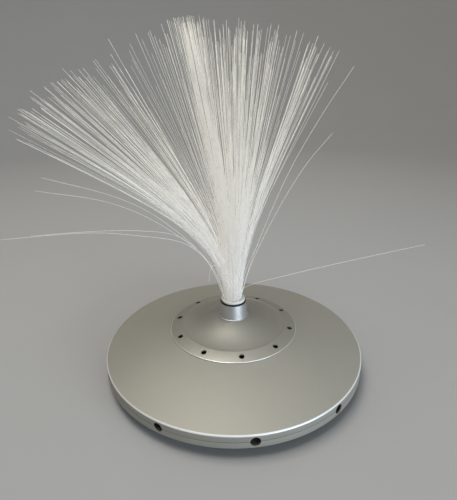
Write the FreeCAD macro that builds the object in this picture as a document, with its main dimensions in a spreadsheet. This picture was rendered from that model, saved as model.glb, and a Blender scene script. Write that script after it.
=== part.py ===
import FreeCAD, Part
import math
import os
import random
import Sketcher
from FreeCAD import Placement, Rotation, Vector

# A free-standing fibre optic lamp. Two spun aluminium dishes meet rim to rim and stand on rubber
# feet. A vent cap closes the middle of the upper dish and carries a tapered neck, and the ferrule
# of the fibre spray stands in that neck. Inside, a halogen capsule shines up through a slowly
# turning colour wheel into the polished lower end of the fibre bundle.
# Frame: origin on the table under the neck, +Z up, the front of the lamp towards -Y.

# name, value in millimetres (or degrees, or a plain count), what it is
SIZES = [
    ("rim_radius", 150.0, "outer radius of both shells at the rim"),
    ("wall", 1.2, "thickness of the spun sheet"),
    ("foot_height", 4.0, "height of a foot, from the table to the floor's underside"),
    ("well_radius", 96.0, "radius of the well pressed in the lower shell"),
    ("well_depth", 9.0, "depth of that well below the underside of the rim"),
    ("lower_rim", 6.6, "height of the lower shell's rim wall"),
    ("upper_rim", 7.4, "height of the upper shell's rim wall"),
    ("rim_chamfer", 1.2, "break of the sharp edge where the rim turns into the cone"),
    ("cone_rise", 20.0, "rise of the upper cone from the rim to the edge of the cap"),
    ("rim_hole_radius", 5.0, "radius of a vent hole in the rim"),
    ("hole_count", 10.0, "vent holes in the rim, and in the cap"),
    ("hole_turn", 7.4, "angle of the first vent hole from the front, towards +X"),
    ("cap_radius", 74.5, "outer radius of the vent cap"),
    ("cap_overlap", 3.5, "width of the cap that rests on the upper shell"),
    ("cap_land", 0.5, "width of the cap's land inside the shell's opening"),
    ("cap_hole_inset", 7.7, "distance of the cap's vent holes inside its edge"),
    ("cap_hole_radius", 2.75, "radius of a vent hole in the cap"),
    ("crease_inset", 15.2, "distance of the crease in the cap inside its edge"),
    ("crease_width", 0.7, "width of the slope from the cap's band down to the crease"),
    ("crease_depth", 0.45, "depth of that crease"),
    ("flare_bend_radius", 37.0, "radius where the flare steepens towards the neck"),
    ("flare_bend_drop", 1.15, "drop of that bend below the straight way to the neck"),
    ("neck_rise", 35.2, "height of the neck's seat above the top of the rim"),
    ("neck_seat_radius", 18.2, "radius of the flat seat under the neck"),
    ("neck_lip_radius", 17.4, "radius of the lip at the neck's base"),
    ("neck_lip_height", 1.0, "height of that lip"),
    ("neck_base_radius", 16.7, "radius of the neck above its lip"),
    ("neck_top_radius", 15.6, "radius of the neck at its top"),
    ("neck_height", 17.8, "height of the neck above its seat"),
    ("shank_wall", 1.3, "thickness of the threaded shank under the neck"),
    ("shank_length", 7.2, "length of that shank below the seat"),
    ("shank_clearance", 0.15, "gap between the shank and the hole in the cap"),
    ("nut_flats", 31.0, "width across the flats of the neck's nut"),
    ("nut_clearance", 0.1, "gap between that nut and the shank"),
    ("nut_height", 4.0, "height of the neck's nut"),
    ("ring_radius", 15.0, "outer radius of the black slip ring"),
    ("ring_height", 1.9, "height of the slip ring"),
    ("slip_clearance", 0.08, "running clearance round the ferrule, on the radius"),
    ("ferrule_radius", 12.0, "outer radius of the ferrule's tube"),
    ("ferrule_wall", 1.0, "thickness of that tube"),
    ("ferrule_reach", 35.4, "depth of the tube below the ferrule's flange"),
    ("flange_radius", 14.0, "radius of the ferrule's white flange"),
    ("flange_height", 2.7, "height of that flange"),
    ("pot_clearance", 0.05, "gap between the potted bundle and the ferrule"),
    ("bundle_recess", 0.6, "depth of the bundle's top below the flange's top"),
    ("fiber_length", 302.0, "length of a fibre above the bundle"),
    ("fiber_side", 0.9, "width of one modelled fibre"),
    ("fiber_count", 72.0, "modelled fibres in the spray, apart from the strays"),
    ("wheel_offset", 28.0, "distance of the motor's shaft behind the lamp's axis"),
    ("wheel_radius", 40.0, "outer radius of the colour wheel"),
    ("filter_thickness", 1.0, "thickness of a colour filter"),
    ("filter_gap", 0.5, "gap between neighbouring filters"),
    ("filter_air", 2.5, "air gap between the wheel and the ferrule's lower end"),
    ("hub_flange_radius", 9.0, "radius of the hub's flange and washer"),
    ("hub_boss_radius", 5.6, "radius of the hub's boss, inside the filters"),
    ("boss_clearance", 0.1, "gap between that boss and the filters"),
    ("hub_flange_height", 1.5, "height of the hub's flange"),
    ("hub_sleeve_height", 6.0, "length of the hub below its flange"),
    ("hub_gap", 1.0, "gap between the hub and the motor's bracket"),
    ("washer_height", 0.8, "height of the washer that clamps the filters"),
    ("shaft_radius", 2.5, "radius of the motor's output shaft"),
    ("shaft_clearance", 0.05, "running clearance round that shaft, on the radius"),
    ("shaft_depth", 10.0, "depth of the shaft's bore in the motor"),
    ("shaft_end_gap", 0.5, "gap below the shaft's lower end"),
    ("can_radius", 21.0, "radius of the motor's can"),
    ("can_height", 15.0, "height of the motor's can"),
    ("can_offset", 10.0, "distance of the can's axis behind the shaft"),
    ("ear_plate_height", 1.6, "thickness of the motor's mounting plate"),
    ("ear_reach", 26.0, "distance of a motor screw from the can's axis"),
    ("ear_width", 9.0, "width of an ear of the motor's mounting plate"),
    ("plate_inset", 1.0, "width of the can that shows beside the plate"),
    ("screw_radius", 1.4, "radius of a screw's shank"),
    ("screw_clearance", 0.3, "gap between a screw and its hole"),
    ("screw_tip", 2.0, "length of a screw beyond the sheets that it joins"),
    ("screw_head_radius", 2.7, "radius of a screw's head"),
    ("screw_head_height", 1.8, "height of a screw's head"),
    ("bracket_sheet", 1.2, "thickness of the folded steel brackets"),
    ("bracket_width", 32.0, "width of the motor's bracket"),
    ("bridge_width", 16.0, "width of the lamp's bridge"),
    ("bridge_margin", 1.0, "room on the bridge at each end of the socket"),
    ("bracket_foot", 9.0, "length of a bracket's foot along the floor"),
    ("bracket_side_gap", 7.0, "room between a motor screw and the bracket's leg"),
    ("capsule_radius", 4.75, "radius of the halogen capsule's glass"),
    ("capsule_height", 22.0, "height of the capsule's glass"),
    ("capsule_air", 2.4, "air gap between the capsule and the wheel"),
    ("pin_length", 4.5, "length of a lamp pin inside its socket"),
    ("pin_spacing", 4.0, "distance between the lamp's two pins"),
    ("pin_side", 0.8, "width of a lamp pin"),
    ("pin_clearance", 0.15, "gap between a lamp pin and its slot"),
    ("socket_length", 16.0, "length of the ceramic lamp socket, along X"),
    ("socket_width", 12.0, "width of that socket, along Y"),
    ("socket_height", 8.0, "height of that socket"),
    ("shield_half_width", 14.0, "distance of a shield cheek from the lamp's axis"),
    ("shield_depth", 24.0, "width of the lamp's shield, along Y"),
    ("shield_sheet", 0.6, "thickness of the lamp's bright shield"),
    ("shield_air", 4.0, "air gap between the shield and the wheel"),
    ("core_length", 48.0, "length of the transformer's core, along Y"),
    ("core_width", 40.0, "width of that core, along X"),
    ("core_height", 16.0, "height of the core's stack of plates"),
    ("core_leg", 8.0, "width of an outer leg of the core"),
    ("core_tongue", 16.0, "width of the core's middle leg"),
    ("coil_bulge", 5.0, "height of the coil above and below the core"),
    ("coil_clearance", 0.3, "gap between the coil and the core"),
    ("transformer_inset", 30.0, "from the well's wall in to the middle of the transformer"),
    ("terminal_pitch", 9.0, "distance between the ways of the terminal block"),
    ("terminal_inset", 18.0, "from the well's wall in to the middle of the terminal block"),
    ("terminal_width", 18.0, "width of the terminal block, along X"),
    ("terminal_base", 6.0, "height of the terminal block's base"),
    ("tower_height", 6.0, "height of a screw tower above that base"),
    ("tower_width", 9.0, "width of a screw tower, along X"),
    ("tower_length", 6.3, "length of a screw tower, along Y"),
    ("foot_inset", 14.0, "from the well's wall in to the middle of each foot"),
    ("foot_radius", 8.0, "radius of a foot where it meets the floor"),
    ("foot_tip_radius", 6.5, "radius of a foot on the table"),
    ("foot_count", 4.0, "rubber feet"),
    ("tab_count", 3.0, "tabs that hold the two shells together"),
    ("tab_turn", 18.0, "angle of the first tab past the first rim hole"),
    ("tab_width", 12.0, "width of a tab"),
    ("tab_leg", 13.0, "length of a tab's leg along the lower shell"),
    ("tab_rise", 10.5, "height of a tab's upright leg"),
    ("tab_clearance", 0.25, "gap between a flat tab and the round shell"),
    ("clamp_inset", 4.0, "distance of a cap stud inside the upper shell's opening"),
    ("clamp_width", 8.0, "width of a clamp"),
    ("clamp_reach", 3.0, "reach of a clamp beyond the cap's edge"),
    ("clamp_tail", 6.0, "length of a clamp inside its stud"),
    ("stud_side", 3.0, "width of a cap stud"),
    ("stud_tip", 1.0, "length of a cap stud below its nut"),
    ("stud_clearance", 0.3, "gap between a stud and its clamp or nut"),
    ("clamp_nut_height", 2.4, "height of a cap nut"),
    ("clamp_nut_flats", 6.4, "width of a cap nut across its flats"),
    ("cord_radius", 3.2, "radius of the cord hole in the inlet bush"),
    ("bush_flange_radius", 7.0, "radius of the bush's flange outside the rim"),
    ("bush_flange", 1.6, "thickness of that flange"),
    ("bush_length", 9.0, "length of the bush from the rim's face inwards"),
    ("bush_clearance", 0.1, "gap between the bush and its rim hole"),
    ("bush_seat_gap", 0.1, "gap between the bush's flat flange and the round rim"),
    ("cut_margin", 1.0, "how far a cutting shape runs past the faces that it opens"),
]

# Flat sides that stand for a round: the inside of a shell and the neck's taper, the inside of the
# cap, a bore or a hidden round piece, a rim hole or a shaft, and a small hole.
SHELL_SIDES = 60
CAP_SIDES = 40
ROUND_SIDES = 24
HOLE_SIDES = 10
SMALL_SIDES = 8
# Angle of the lamp's front, counted from +X.
FRONT = -90.0

doc = FreeCAD.newDocument("FiberOpticLamp")
sheet = doc.addObject("Spreadsheet::Sheet", "Sizes")


class Size:
    """A number that remembers its formula over the sheet, so one value drives sketch and code."""

    def __init__(self, formula, value):
        self.formula = formula
        self.value = value

    def __add__(self, other):
        return combine(self, "+", other, self.value + plain(other))

    def __radd__(self, other):
        return combine(other, "+", self, plain(other) + self.value)

    def __sub__(self, other):
        return combine(self, "-", other, self.value - plain(other))

    def __rsub__(self, other):
        return combine(other, "-", self, plain(other) - self.value)

    def __mul__(self, other):
        return combine(self, "*", other, self.value * plain(other))

    def __rmul__(self, other):
        return combine(other, "*", self, plain(other) * self.value)

    def __truediv__(self, other):
        return combine(self, "/", other, self.value / plain(other))

    def __neg__(self):
        return combine(0, "-", self, -self.value)


def plain(size):
    return size.value if isinstance(size, Size) else float(size)


def text(size):
    return size.formula if isinstance(size, Size) else repr(float(size))


def combine(first, sign, second, value):
    return Size(f"({text(first)} {sign} {text(second)})", value)


class Named:
    """The sheet's sizes as attributes."""


s = Named()
for row, (name, value, note) in enumerate(SIZES, start=1):
    sheet.set(f"A{row}", name)
    sheet.set(f"B{row}", str(value))
    sheet.setAlias(f"B{row}", name)
    sheet.set(f"C{row}", note)
    setattr(s, name, Size(f"Sizes.{name}", value))
doc.recompute()

nodes = []


def bind(thing, path, size):
    """Sets a property to a size, and ties it to the size's formula when it has one."""
    if isinstance(size, Size):
        thing.setExpression(path, size.formula)


def node(thing, name):
    """Names a finished sub-part: its label is the name of its file."""
    thing.Label = name
    nodes.append(thing)
    return thing


def new_body(name):
    return doc.addObject("PartDesign::Body", name)


def plane(body, role):
    return [item for item in body.Origin.OriginFeatures if item.Role == role][0]


def new_sketch(body, name, role="XZ_Plane"):
    sketch = body.newObject("Sketcher::SketchObject", name)
    sketch.AttachmentSupport = [(plane(body, role), "")]
    sketch.MapMode = "FlatFace"
    return sketch


def pin_point(sketch, geometry, end, across, up):
    """Fixes one end of one edge at (across, up) from the sketch's origin."""
    for kind, size in (("DistanceX", across), ("DistanceY", up)):
        index = sketch.addConstraint(
            Sketcher.Constraint(kind, -1, 1, geometry, end, plain(size))
        )
        bind(sketch, f"Constraints[{index}]", size)


def outline(sketch, corners):
    """Closes a profile of straight edges through its corners, each (across, up)."""
    first = None
    for index, corner in enumerate(corners):
        following = corners[(index + 1) % len(corners)]
        start = Vector(plain(corner[0]), plain(corner[1]), 0)
        finish = Vector(plain(following[0]), plain(following[1]), 0)
        edge = sketch.addGeometry(Part.LineSegment(start, finish), False)
        first = edge if first is None else first
        if index:
            sketch.addConstraint(Sketcher.Constraint("Coincident", edge - 1, 2, edge, 1))
        pin_point(sketch, edge, 1, corner[0], corner[1])
    sketch.addConstraint(Sketcher.Constraint("Coincident", edge, 2, first, 1))


def flat_sided(radius, sides, across=0, up=0):
    """Corners of a regular polygon, the middles of its sides at radius from its centre."""
    corner = radius / math.cos(math.pi / sides)
    corners = []
    for index in range(sides):
        angle = 2 * math.pi * (index + 0.5) / sides
        corners.append((across + corner * math.cos(angle), up + corner * math.sin(angle)))
    return corners


def circle(sketch, across, up, radius):
    """Adds a full circle to a sketch."""
    shape = Part.Circle(Vector(plain(across), plain(up), 0), Vector(0, 0, 1), plain(radius))
    edge = sketch.addGeometry(shape, False)
    pin_point(sketch, edge, 3, across, up)
    index = sketch.addConstraint(Sketcher.Constraint("Radius", edge, plain(radius)))
    bind(sketch, f"Constraints[{index}]", radius)


def turned_blank(name, corners):
    """A body turned round the vertical axis from its half section."""
    body = new_body(name)
    sketch = new_sketch(body, name + "_section")
    outline(sketch, corners)
    turn = body.newObject("PartDesign::Revolution", name + "_turn")
    turn.Profile = sketch
    turn.ReferenceAxis = (sketch, ["V_Axis"])
    turn.Angle = 360
    body.Tip = turn
    doc.recompute()
    return body


def turned(name, corners):
    """A sub-part turned round the vertical axis from its half section."""
    return node(turned_blank(name, corners), name)


def extruded(name, corners, width, role="XZ_Plane"):
    """A sub-part with the given section, as wide as width, centred on its sketch plane."""
    body = node(new_body(name), name)
    sketch = new_sketch(body, name + "_section", role)
    outline(sketch, corners)
    pad = body.newObject("PartDesign::Pad", name + "_pad")
    pad.Profile = sketch
    pad.Length = plain(width)
    bind(pad, "Length", width)
    pad.Midplane = True
    body.Tip = pad
    doc.recompute()
    return body


def level_sketch(body, name, height):
    """A level sketch at a height."""
    sketch = new_sketch(body, name, "XY_Plane")
    sketch.AttachmentOffset = Placement(Vector(0, 0, plain(height)), Rotation())
    bind(sketch, "AttachmentOffset.Base.z", height)
    return sketch


def padded(body, name, draw, low, height):
    """Pads what draw puts on a level sketch up from the height low."""
    sketch = level_sketch(body, name, low)
    draw(sketch)
    pad = body.newObject("PartDesign::Pad", name + "_pad")
    pad.Profile = sketch
    pad.Length = plain(height)
    bind(pad, "Length", height)
    body.Tip = pad
    doc.recompute()


def raised(name, draw, low, height):
    """A sub-part padded up from a level sketch."""
    body = node(new_body(name), name)
    padded(body, name + "_plan", draw, low, height)
    return body


def sunk(body, name, draw, top, depth):
    """Cuts what draw puts on a level sketch down from the height top."""
    before = body.Shape.Volume
    sketch = level_sketch(body, name, top)
    draw(sketch)
    pocket = body.newObject("PartDesign::Pocket", name + "_cut")
    pocket.Profile = sketch
    pocket.Length = plain(depth)
    bind(pocket, "Length", depth)
    body.Tip = pocket
    doc.recompute()
    if body.Shape.Volume >= before:
        raise RuntimeError(f"{name} cuts nothing")


def faceted(rings, sides):
    """A solid with flat faces that runs through level regular polygons, each (radius, height)."""
    loops = []
    for radius, height in rings:
        plan = flat_sided(plain(radius), sides)
        loops.append([Vector(across, deep, plain(height)) for across, deep in plan])
    outlines = [loops[0], loops[-1]]
    for low, high in zip(loops, loops[1:]):
        for index in range(sides):
            after = (index + 1) % sides
            outlines.append([low[index], low[after], high[after], high[index]])
    faces = [Part.Face(Part.makePolygon(corners + corners[:1])) for corners in outlines]
    shell = Part.makeShell(faces)
    shell.sewShape()
    solid = Part.makeSolid(shell)
    if solid.Volume < 0:
        solid.reverse()
    return solid


def with_faceted(name, blank, operation, rings, sides):
    """A sub-part made of a turned blank, cut by or fused with the flat-sided solid of rings."""
    tool = doc.addObject("Part::Feature", name + "_facets")
    tool.Shape = faceted(rings, sides)
    whole = doc.addObject(operation, name + "_whole")
    whole.Base = blank
    whole.Tool = tool
    doc.recompute()
    if abs(whole.Shape.Volume - blank.Shape.Volume) < 1:
        raise RuntimeError(f"{name} is as it was")
    body = node(new_body(name + "_body"), name)
    body.BaseFeature = whole
    doc.recompute()
    return body


def pierced(body, name, draw, role, away=True):
    """Cuts what draw puts on a sketch through the body, on one side of the sketch's plane."""
    before = body.Shape.Volume
    sketch = new_sketch(body, name, role)
    draw(sketch)
    pocket = body.newObject("PartDesign::Pocket", name + "_cut")
    pocket.Profile = sketch
    pocket.Type = 1
    pocket.Reversed = away
    body.Tip = pocket
    doc.recompute()
    if body.Shape.Volume >= before:
        raise RuntimeError(f"{name} cuts nothing")
    return pocket


def repeated(body, feature, count):
    """Repeats one feature round the vertical axis."""
    pattern = body.newObject("PartDesign::PolarPattern", feature.Name + "_ring")
    pattern.Originals = [feature]
    pattern.Axis = (new_axis(body), [""])
    pattern.Angle = 360
    pattern.Occurrences = int(plain(count))
    bind(pattern, "Occurrences", count)
    body.Tip = pattern
    doc.recompute()
    return pattern


def new_axis(body):
    return [item for item in body.Origin.OriginFeatures if item.Role == "Z_Axis"][0]


def moved(body, across=0, deep=0, up=0, turn=0):
    """Puts a body at its place, turned round the vertical axis."""
    place = Placement(
        Vector(plain(across), plain(deep), plain(up)), Rotation(Vector(0, 0, 1), plain(turn))
    )
    body.Placement = place
    bind(body, "Placement.Base.x", across)
    bind(body, "Placement.Base.y", deep)
    bind(body, "Placement.Base.z", up)
    bind(body, "Placement.Rotation.Angle", turn)
    return body


def spread(name, shapes):
    """One node that holds several separate solids."""
    group = doc.addObject("Part::Feature", name)
    group.Shape = Part.makeCompound(shapes)
    return node(group, name)


def round_about(shape, count, first):
    """Copies of a shape, evenly round the vertical axis from the angle first."""
    copies = []
    for index in range(count):
        copy = shape.copy()
        copy.rotate(Vector(0, 0, 0), Vector(0, 0, 1), first + 360.0 * index / count)
        copies.append(copy)
    return copies


def block(low, high):
    """A plain block between two corners."""
    size = high - low
    return Part.makeBox(size.x, size.y, size.z, low)


def prism(radius, height, base, sides=6):
    """An upright prism, the middles of its sides at radius from its axis."""
    corners = [base + Vector(x, y, 0) for x, y in flat_sided(radius, sides)]
    return Part.Face(Part.makePolygon(corners + corners[:1])).extrude(Vector(0, 0, height))


def screw(length):
    """A screw with its head's underside at the origin, its shank upwards."""
    head_radius = s.screw_head_radius.value
    head_height = s.screw_head_height.value
    head = prism(head_radius, head_height, Vector(0, 0, -head_height))
    shank = prism(s.screw_radius.value, length, Vector(0, 0, 0))
    return head.fuse(shank).removeSplitter()


# Heights that the shells share.
floor_bottom = s.foot_height
floor_top = floor_bottom + s.wall
rim_bottom = floor_bottom + s.well_depth
seam = rim_bottom + s.lower_rim
rim_top = seam + s.upper_rim
cone_slope = s.cone_rise / (s.rim_radius - s.cap_radius)
shell_inside = s.rim_radius - s.wall
cap_opening = s.cap_radius - s.cap_overlap
neck_seat = rim_top + s.neck_rise
neck_top = neck_seat + s.neck_height
neck_bore = s.ferrule_radius + s.slip_clearance
shank_radius = neck_bore + s.shank_wall
ring_top = neck_top + s.ring_height
flange_top = ring_top + s.flange_height
ferrule_bottom = ring_top - s.ferrule_reach
filter_top = ferrule_bottom - s.filter_air
filter_bottom = filter_top - s.filter_thickness
can_axis = s.wheel_offset + s.can_offset
# A tab's flat outer face, and the circle of its screws.
tab_face = shell_inside - s.tab_clearance - s.tab_width * s.tab_width / (8 * shell_inside)
tab_screw_circle = tab_face - s.tab_leg / 2


def cone_height(radius):
    """Height of the upper cone's outer face at a radius."""
    return rim_top + cone_slope * (s.rim_radius - radius)


def sine(angle):
    return Size(f"sin({text(angle)} * 1 deg)", math.sin(math.radians(plain(angle))))


def cosine(angle):
    return Size(f"cos({text(angle)} * 1 deg)", math.cos(math.radians(plain(angle))))


def bored(body, name, radius, sides=ROUND_SIDES):
    """A flat-sided bore right through a body, along the vertical axis."""
    pierced(body, name, lambda sketch: outline(sketch, flat_sided(radius, sides)), "XY_Plane")


def rim_hole(sketch):
    outline(sketch, flat_sided(s.rim_hole_radius, HOLE_SIDES, 0, seam))


def upper_shell():
    """The upper dish: rim wall, broken edge and straight cone, open in the middle."""
    edge = s.rim_radius - s.rim_chamfer
    blank = turned_blank(
        "upper_blank",
        [
            (0, seam),
            (s.rim_radius, seam),
            (s.rim_radius, rim_top - s.rim_chamfer),
            (edge, cone_height(edge)),
            (0, cone_height(0)),
        ],
    )
    hollow = [
        (shell_inside, seam - s.cut_margin),
        (shell_inside, cone_height(shell_inside) - s.wall),
        (cap_opening, cone_height(cap_opening) - s.wall),
        (cap_opening, cone_height(0) + s.cut_margin),
    ]
    body = with_faceted("upper_shell", blank, "Part::Cut", hollow, SHELL_SIDES)
    hole = pierced(body, "upper_rim_hole", rim_hole, "XZ_Plane")
    repeated(body, hole, s.hole_count)
    return moved(body, turn=s.hole_turn)


def lower_shell():
    """The lower dish: rim wall, level underside and a well with the flat floor."""
    body = turned(
        "lower_shell",
        [
            (0, floor_bottom),
            (s.well_radius, floor_bottom),
            (s.well_radius, rim_bottom),
            (s.rim_radius, rim_bottom),
            (s.rim_radius, seam),
            (0, seam),
        ],
    )
    rim_plan = flat_sided(shell_inside, SHELL_SIDES)
    well_plan = flat_sided(s.well_radius - s.wall, CAP_SIDES)
    ledge = rim_bottom + s.wall
    sunk(body, "rim_inside", lambda sketch: outline(sketch, rim_plan), seam, seam - ledge)
    sunk(body, "well_inside", lambda sketch: outline(sketch, well_plan), ledge, ledge - floor_top)
    hole = pierced(body, "lower_rim_hole", rim_hole, "XZ_Plane")
    repeated(body, hole, s.hole_count)

    def screw_hole(sketch):
        across = tab_screw_circle * sine(s.tab_turn)
        up = -(tab_screw_circle * cosine(s.tab_turn))
        outline(sketch, flat_sided(s.screw_radius + s.screw_clearance, SMALL_SIDES, across, up))

    hole = pierced(body, "tab_screw_hole", screw_hole, "XY_Plane")
    repeated(body, hole, s.tab_count)
    return moved(body, turn=s.hole_turn)


def vent_cap():
    """The cap over the upper shell's opening: vented band, crease, and a flare up to the neck."""
    crease = s.cap_radius - s.crease_inset
    band_end = crease + s.crease_width
    land = cap_opening - s.cap_land
    flare_foot = cone_height(crease) + s.wall - s.crease_depth
    share = (crease - s.flare_bend_radius) / (crease - s.neck_seat_radius)
    bend = flare_foot + (neck_seat - flare_foot) * share - s.flare_bend_drop
    blank = turned_blank(
        "cap_blank",
        [
            (0, cone_height(land)),
            (land, cone_height(land)),
            (s.cap_radius, cone_height(s.cap_radius)),
            (s.cap_radius, cone_height(s.cap_radius) + s.wall),
            (band_end, cone_height(band_end) + s.wall),
            (crease, flare_foot),
            (s.flare_bend_radius, bend),
            (s.neck_seat_radius, neck_seat),
            (0, neck_seat),
        ],
    )
    side = math.cos(math.pi / CAP_SIDES)
    hollow = [
        ((land - s.cap_land) * side, cone_height(land) - s.cut_margin),
        ((land - s.cap_land) * side, cone_height(land)),
        (crease * side, flare_foot - s.wall),
        (s.flare_bend_radius * side, bend - s.wall),
        (s.neck_seat_radius * side, neck_seat - s.wall),
    ]
    body = with_faceted("vent_cap", blank, "Part::Cut", hollow, CAP_SIDES)
    bored(body, "shank_hole", shank_radius + s.shank_clearance)

    def vent(sketch):
        up = s.cap_hole_inset - s.cap_radius
        outline(sketch, flat_sided(s.cap_hole_radius, SMALL_SIDES, 0, up))

    hole = pierced(body, "cap_vent", vent, "XY_Plane")
    repeated(body, hole, s.hole_count)
    return moved(body, turn=s.hole_turn)


def neck_sleeve():
    """The tapered aluminium neck, with a lip at its base and a threaded shank through the cap."""
    lip_top = neck_seat + s.neck_lip_height
    blank = turned_blank(
        "neck_lip",
        [
            (0, neck_seat),
            (s.neck_lip_radius, neck_seat),
            (s.neck_lip_radius, lip_top),
            (0, lip_top),
        ],
    )
    taper = [(s.neck_base_radius, lip_top), (s.neck_top_radius, neck_top)]
    body = with_faceted("neck_sleeve", blank, "Part::Fuse", taper, SHELL_SIDES)
    shank = flat_sided(shank_radius, ROUND_SIDES)
    padded(body, "neck_shank", lambda sketch: outline(sketch, shank), neck_seat - s.shank_length,
           s.shank_length)
    bored(body, "neck_bore", neck_bore)


def neck_nut():
    """The thin hexagon nut that pulls the neck down on the cap."""

    def plan(sketch):
        outline(sketch, flat_sided(s.nut_flats / 2, 6))
        outline(sketch, flat_sided(shank_radius + s.nut_clearance, ROUND_SIDES))

    raised("neck_nut", plan, neck_seat - s.wall - s.nut_height, s.nut_height)


def slip_ring():
    """The black ring between the neck and the ferrule's flange."""
    body = turned(
        "slip_ring",
        [(0, neck_top), (s.ring_radius, neck_top), (s.ring_radius, ring_top), (0, ring_top)],
    )
    bored(body, "ring_bore", neck_bore)


def ferrule():
    """The white ferrule: a flange over the neck and a tube that holds the fibres' lower ends."""
    body = turned(
        "ferrule",
        [
            (0, ring_top),
            (s.flange_radius, ring_top),
            (s.flange_radius, flange_top),
            (0, flange_top),
        ],
    )
    # The tube turns in the neck, so its corners, not its sides, have the tube's radius.
    tube = flat_sided(s.ferrule_radius * math.cos(math.pi / ROUND_SIDES), ROUND_SIDES)
    padded(body, "ferrule_tube", lambda sketch: outline(sketch, tube), ferrule_bottom,
           s.ferrule_reach)
    bored(body, "ferrule_bore", s.ferrule_radius - s.ferrule_wall)


bundle_radius = s.ferrule_radius - s.ferrule_wall - s.pot_clearance
bundle_top = flange_top - s.bundle_recess


def fiber_bundle():
    """The fibres potted in the ferrule, cut and polished flush with its lower end."""
    plan = flat_sided(bundle_radius, ROUND_SIDES)
    raised("fiber_bundle", lambda sketch: outline(sketch, plan), ferrule_bottom,
           bundle_top - ferrule_bottom)


# The spray. A fibre leans by an angle that grows along its length, so it droops into an arc. The
# lean follows from where the fibre stands in the ferrule, which keeps neighbours from crossing.
GOLDEN_ANGLE = math.pi * (3 - math.sqrt(5))
LEAN_LEFT = 58.0
LEAN_RIGHT = 27.0
LEAN_DEEP = 38.0
EVEN_LEFT = 0.35
EVEN_DEEP = 0.6
LEAN_AT_ROOT = 0.32
LEAN_AT_TIP = 1.3
LEFT_TUFT = 20.0
RIGHT_TUFT = 11.0
LENGTH_SPREAD = 0.05
# A fibre gets one more straight run when it leans by more than each of these angles.
MORE_RUNS = (14.0, 34.0)


def fiber_shape(root, azimuth, leans, steps):
    """One fibre as straight runs: it starts on the bundle at root and leans towards azimuth by
    each angle of leans in turn, for each length of steps."""
    side = s.fiber_side.value
    out = Vector(math.cos(azimuth), math.sin(azimuth), 0)
    across = Vector(-math.sin(azimuth), math.cos(azimuth), 0)
    up = Vector(0, 0, 1)
    point = root
    sections = [section(root, out, across, side)]
    for index, (lean, step) in enumerate(zip(leans, steps)):
        angle = math.radians(lean)
        point = point + (out * math.sin(angle) + up * math.cos(angle)) * step
        following = leans[min(index + 1, len(leans) - 1)]
        tilt = math.radians((lean + following) / 2)
        normal = out * math.cos(tilt) - up * math.sin(tilt)
        sections.append(section(point, normal, across, side))
    return Part.makeLoft(sections, True, True)


def section(centre, normal, across, side):
    """A small triangle that stands for a fibre's round section."""
    half = side / 2
    corners = [
        centre + normal * half,
        centre - normal * (half / 2) + across * half,
        centre - normal * (half / 2) - across * half,
    ]
    return Part.makePolygon(corners + corners[:1])


def fiber_spray():
    """The tufts of the spray, each a node of separate fibres."""
    count = int(s.fiber_count.value)
    reach = (bundle_radius - s.fiber_side).value
    draw = random.Random(7)
    tufts = {"fibers_left": [], "fibers_middle": [], "fibers_right": []}
    for index in range(count):
        radius = reach * math.sqrt((index + 0.5) / count)
        angle = index * GOLDEN_ANGLE
        root = Vector(radius * math.cos(angle), radius * math.sin(angle), bundle_top.value)
        across = root.x / reach
        deep = root.y / reach
        lean_x = across * LEAN_RIGHT
        if across < 0:
            lean_x = across * LEAN_LEFT * (EVEN_LEFT + (1 - EVEN_LEFT) * abs(across))
        lean_y = deep * LEAN_DEEP * (EVEN_DEEP + (1 - EVEN_DEEP) * abs(deep))
        lean = math.hypot(lean_x, lean_y)
        length = s.fiber_length.value * (1 + LENGTH_SPREAD * draw.uniform(-1, 1))
        runs = 2 + sum(lean > angle for angle in MORE_RUNS)
        leans = []
        for run in range(runs):
            along = (run + 0.5) / runs
            leans.append(lean * (LEAN_AT_ROOT + (LEAN_AT_TIP - LEAN_AT_ROOT) * along))
        shape = fiber_shape(root, math.atan2(lean_y, lean_x), leans, [length / runs] * runs)
        tuft = "fibers_middle"
        if lean_x < -LEFT_TUFT:
            tuft = "fibers_left"
        elif lean_x > RIGHT_TUFT:
            tuft = "fibers_right"
        tufts[tuft].append(shape)
    for name, shapes in tufts.items():
        spread(name, shapes)


# Fibres that have sprung out of the tufts: where they point, their lean in each run, and the
# length of each run.
STRAYS = (
    (180.0, (18, 30, 66, 88, 93), (34, 40, 30, 100, 72)),
    (174.0, (18, 44, 66, 76), (60, 70, 80, 62)),
    (20.0, (18, 68, 80, 82), (16, 60, 100, 82)),
)


def stray_fibers():
    """Two low fibres and a nearly level one that stand apart from the tufts."""
    reach = (bundle_radius - s.fiber_side).value
    shapes = []
    for azimuth, leans, steps in STRAYS:
        angle = math.radians(azimuth)
        root = Vector(reach * math.cos(angle), reach * math.sin(angle), bundle_top.value)
        shapes.append(fiber_shape(root, angle, leans, steps))
    spread("stray_fibers", shapes)


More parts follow.
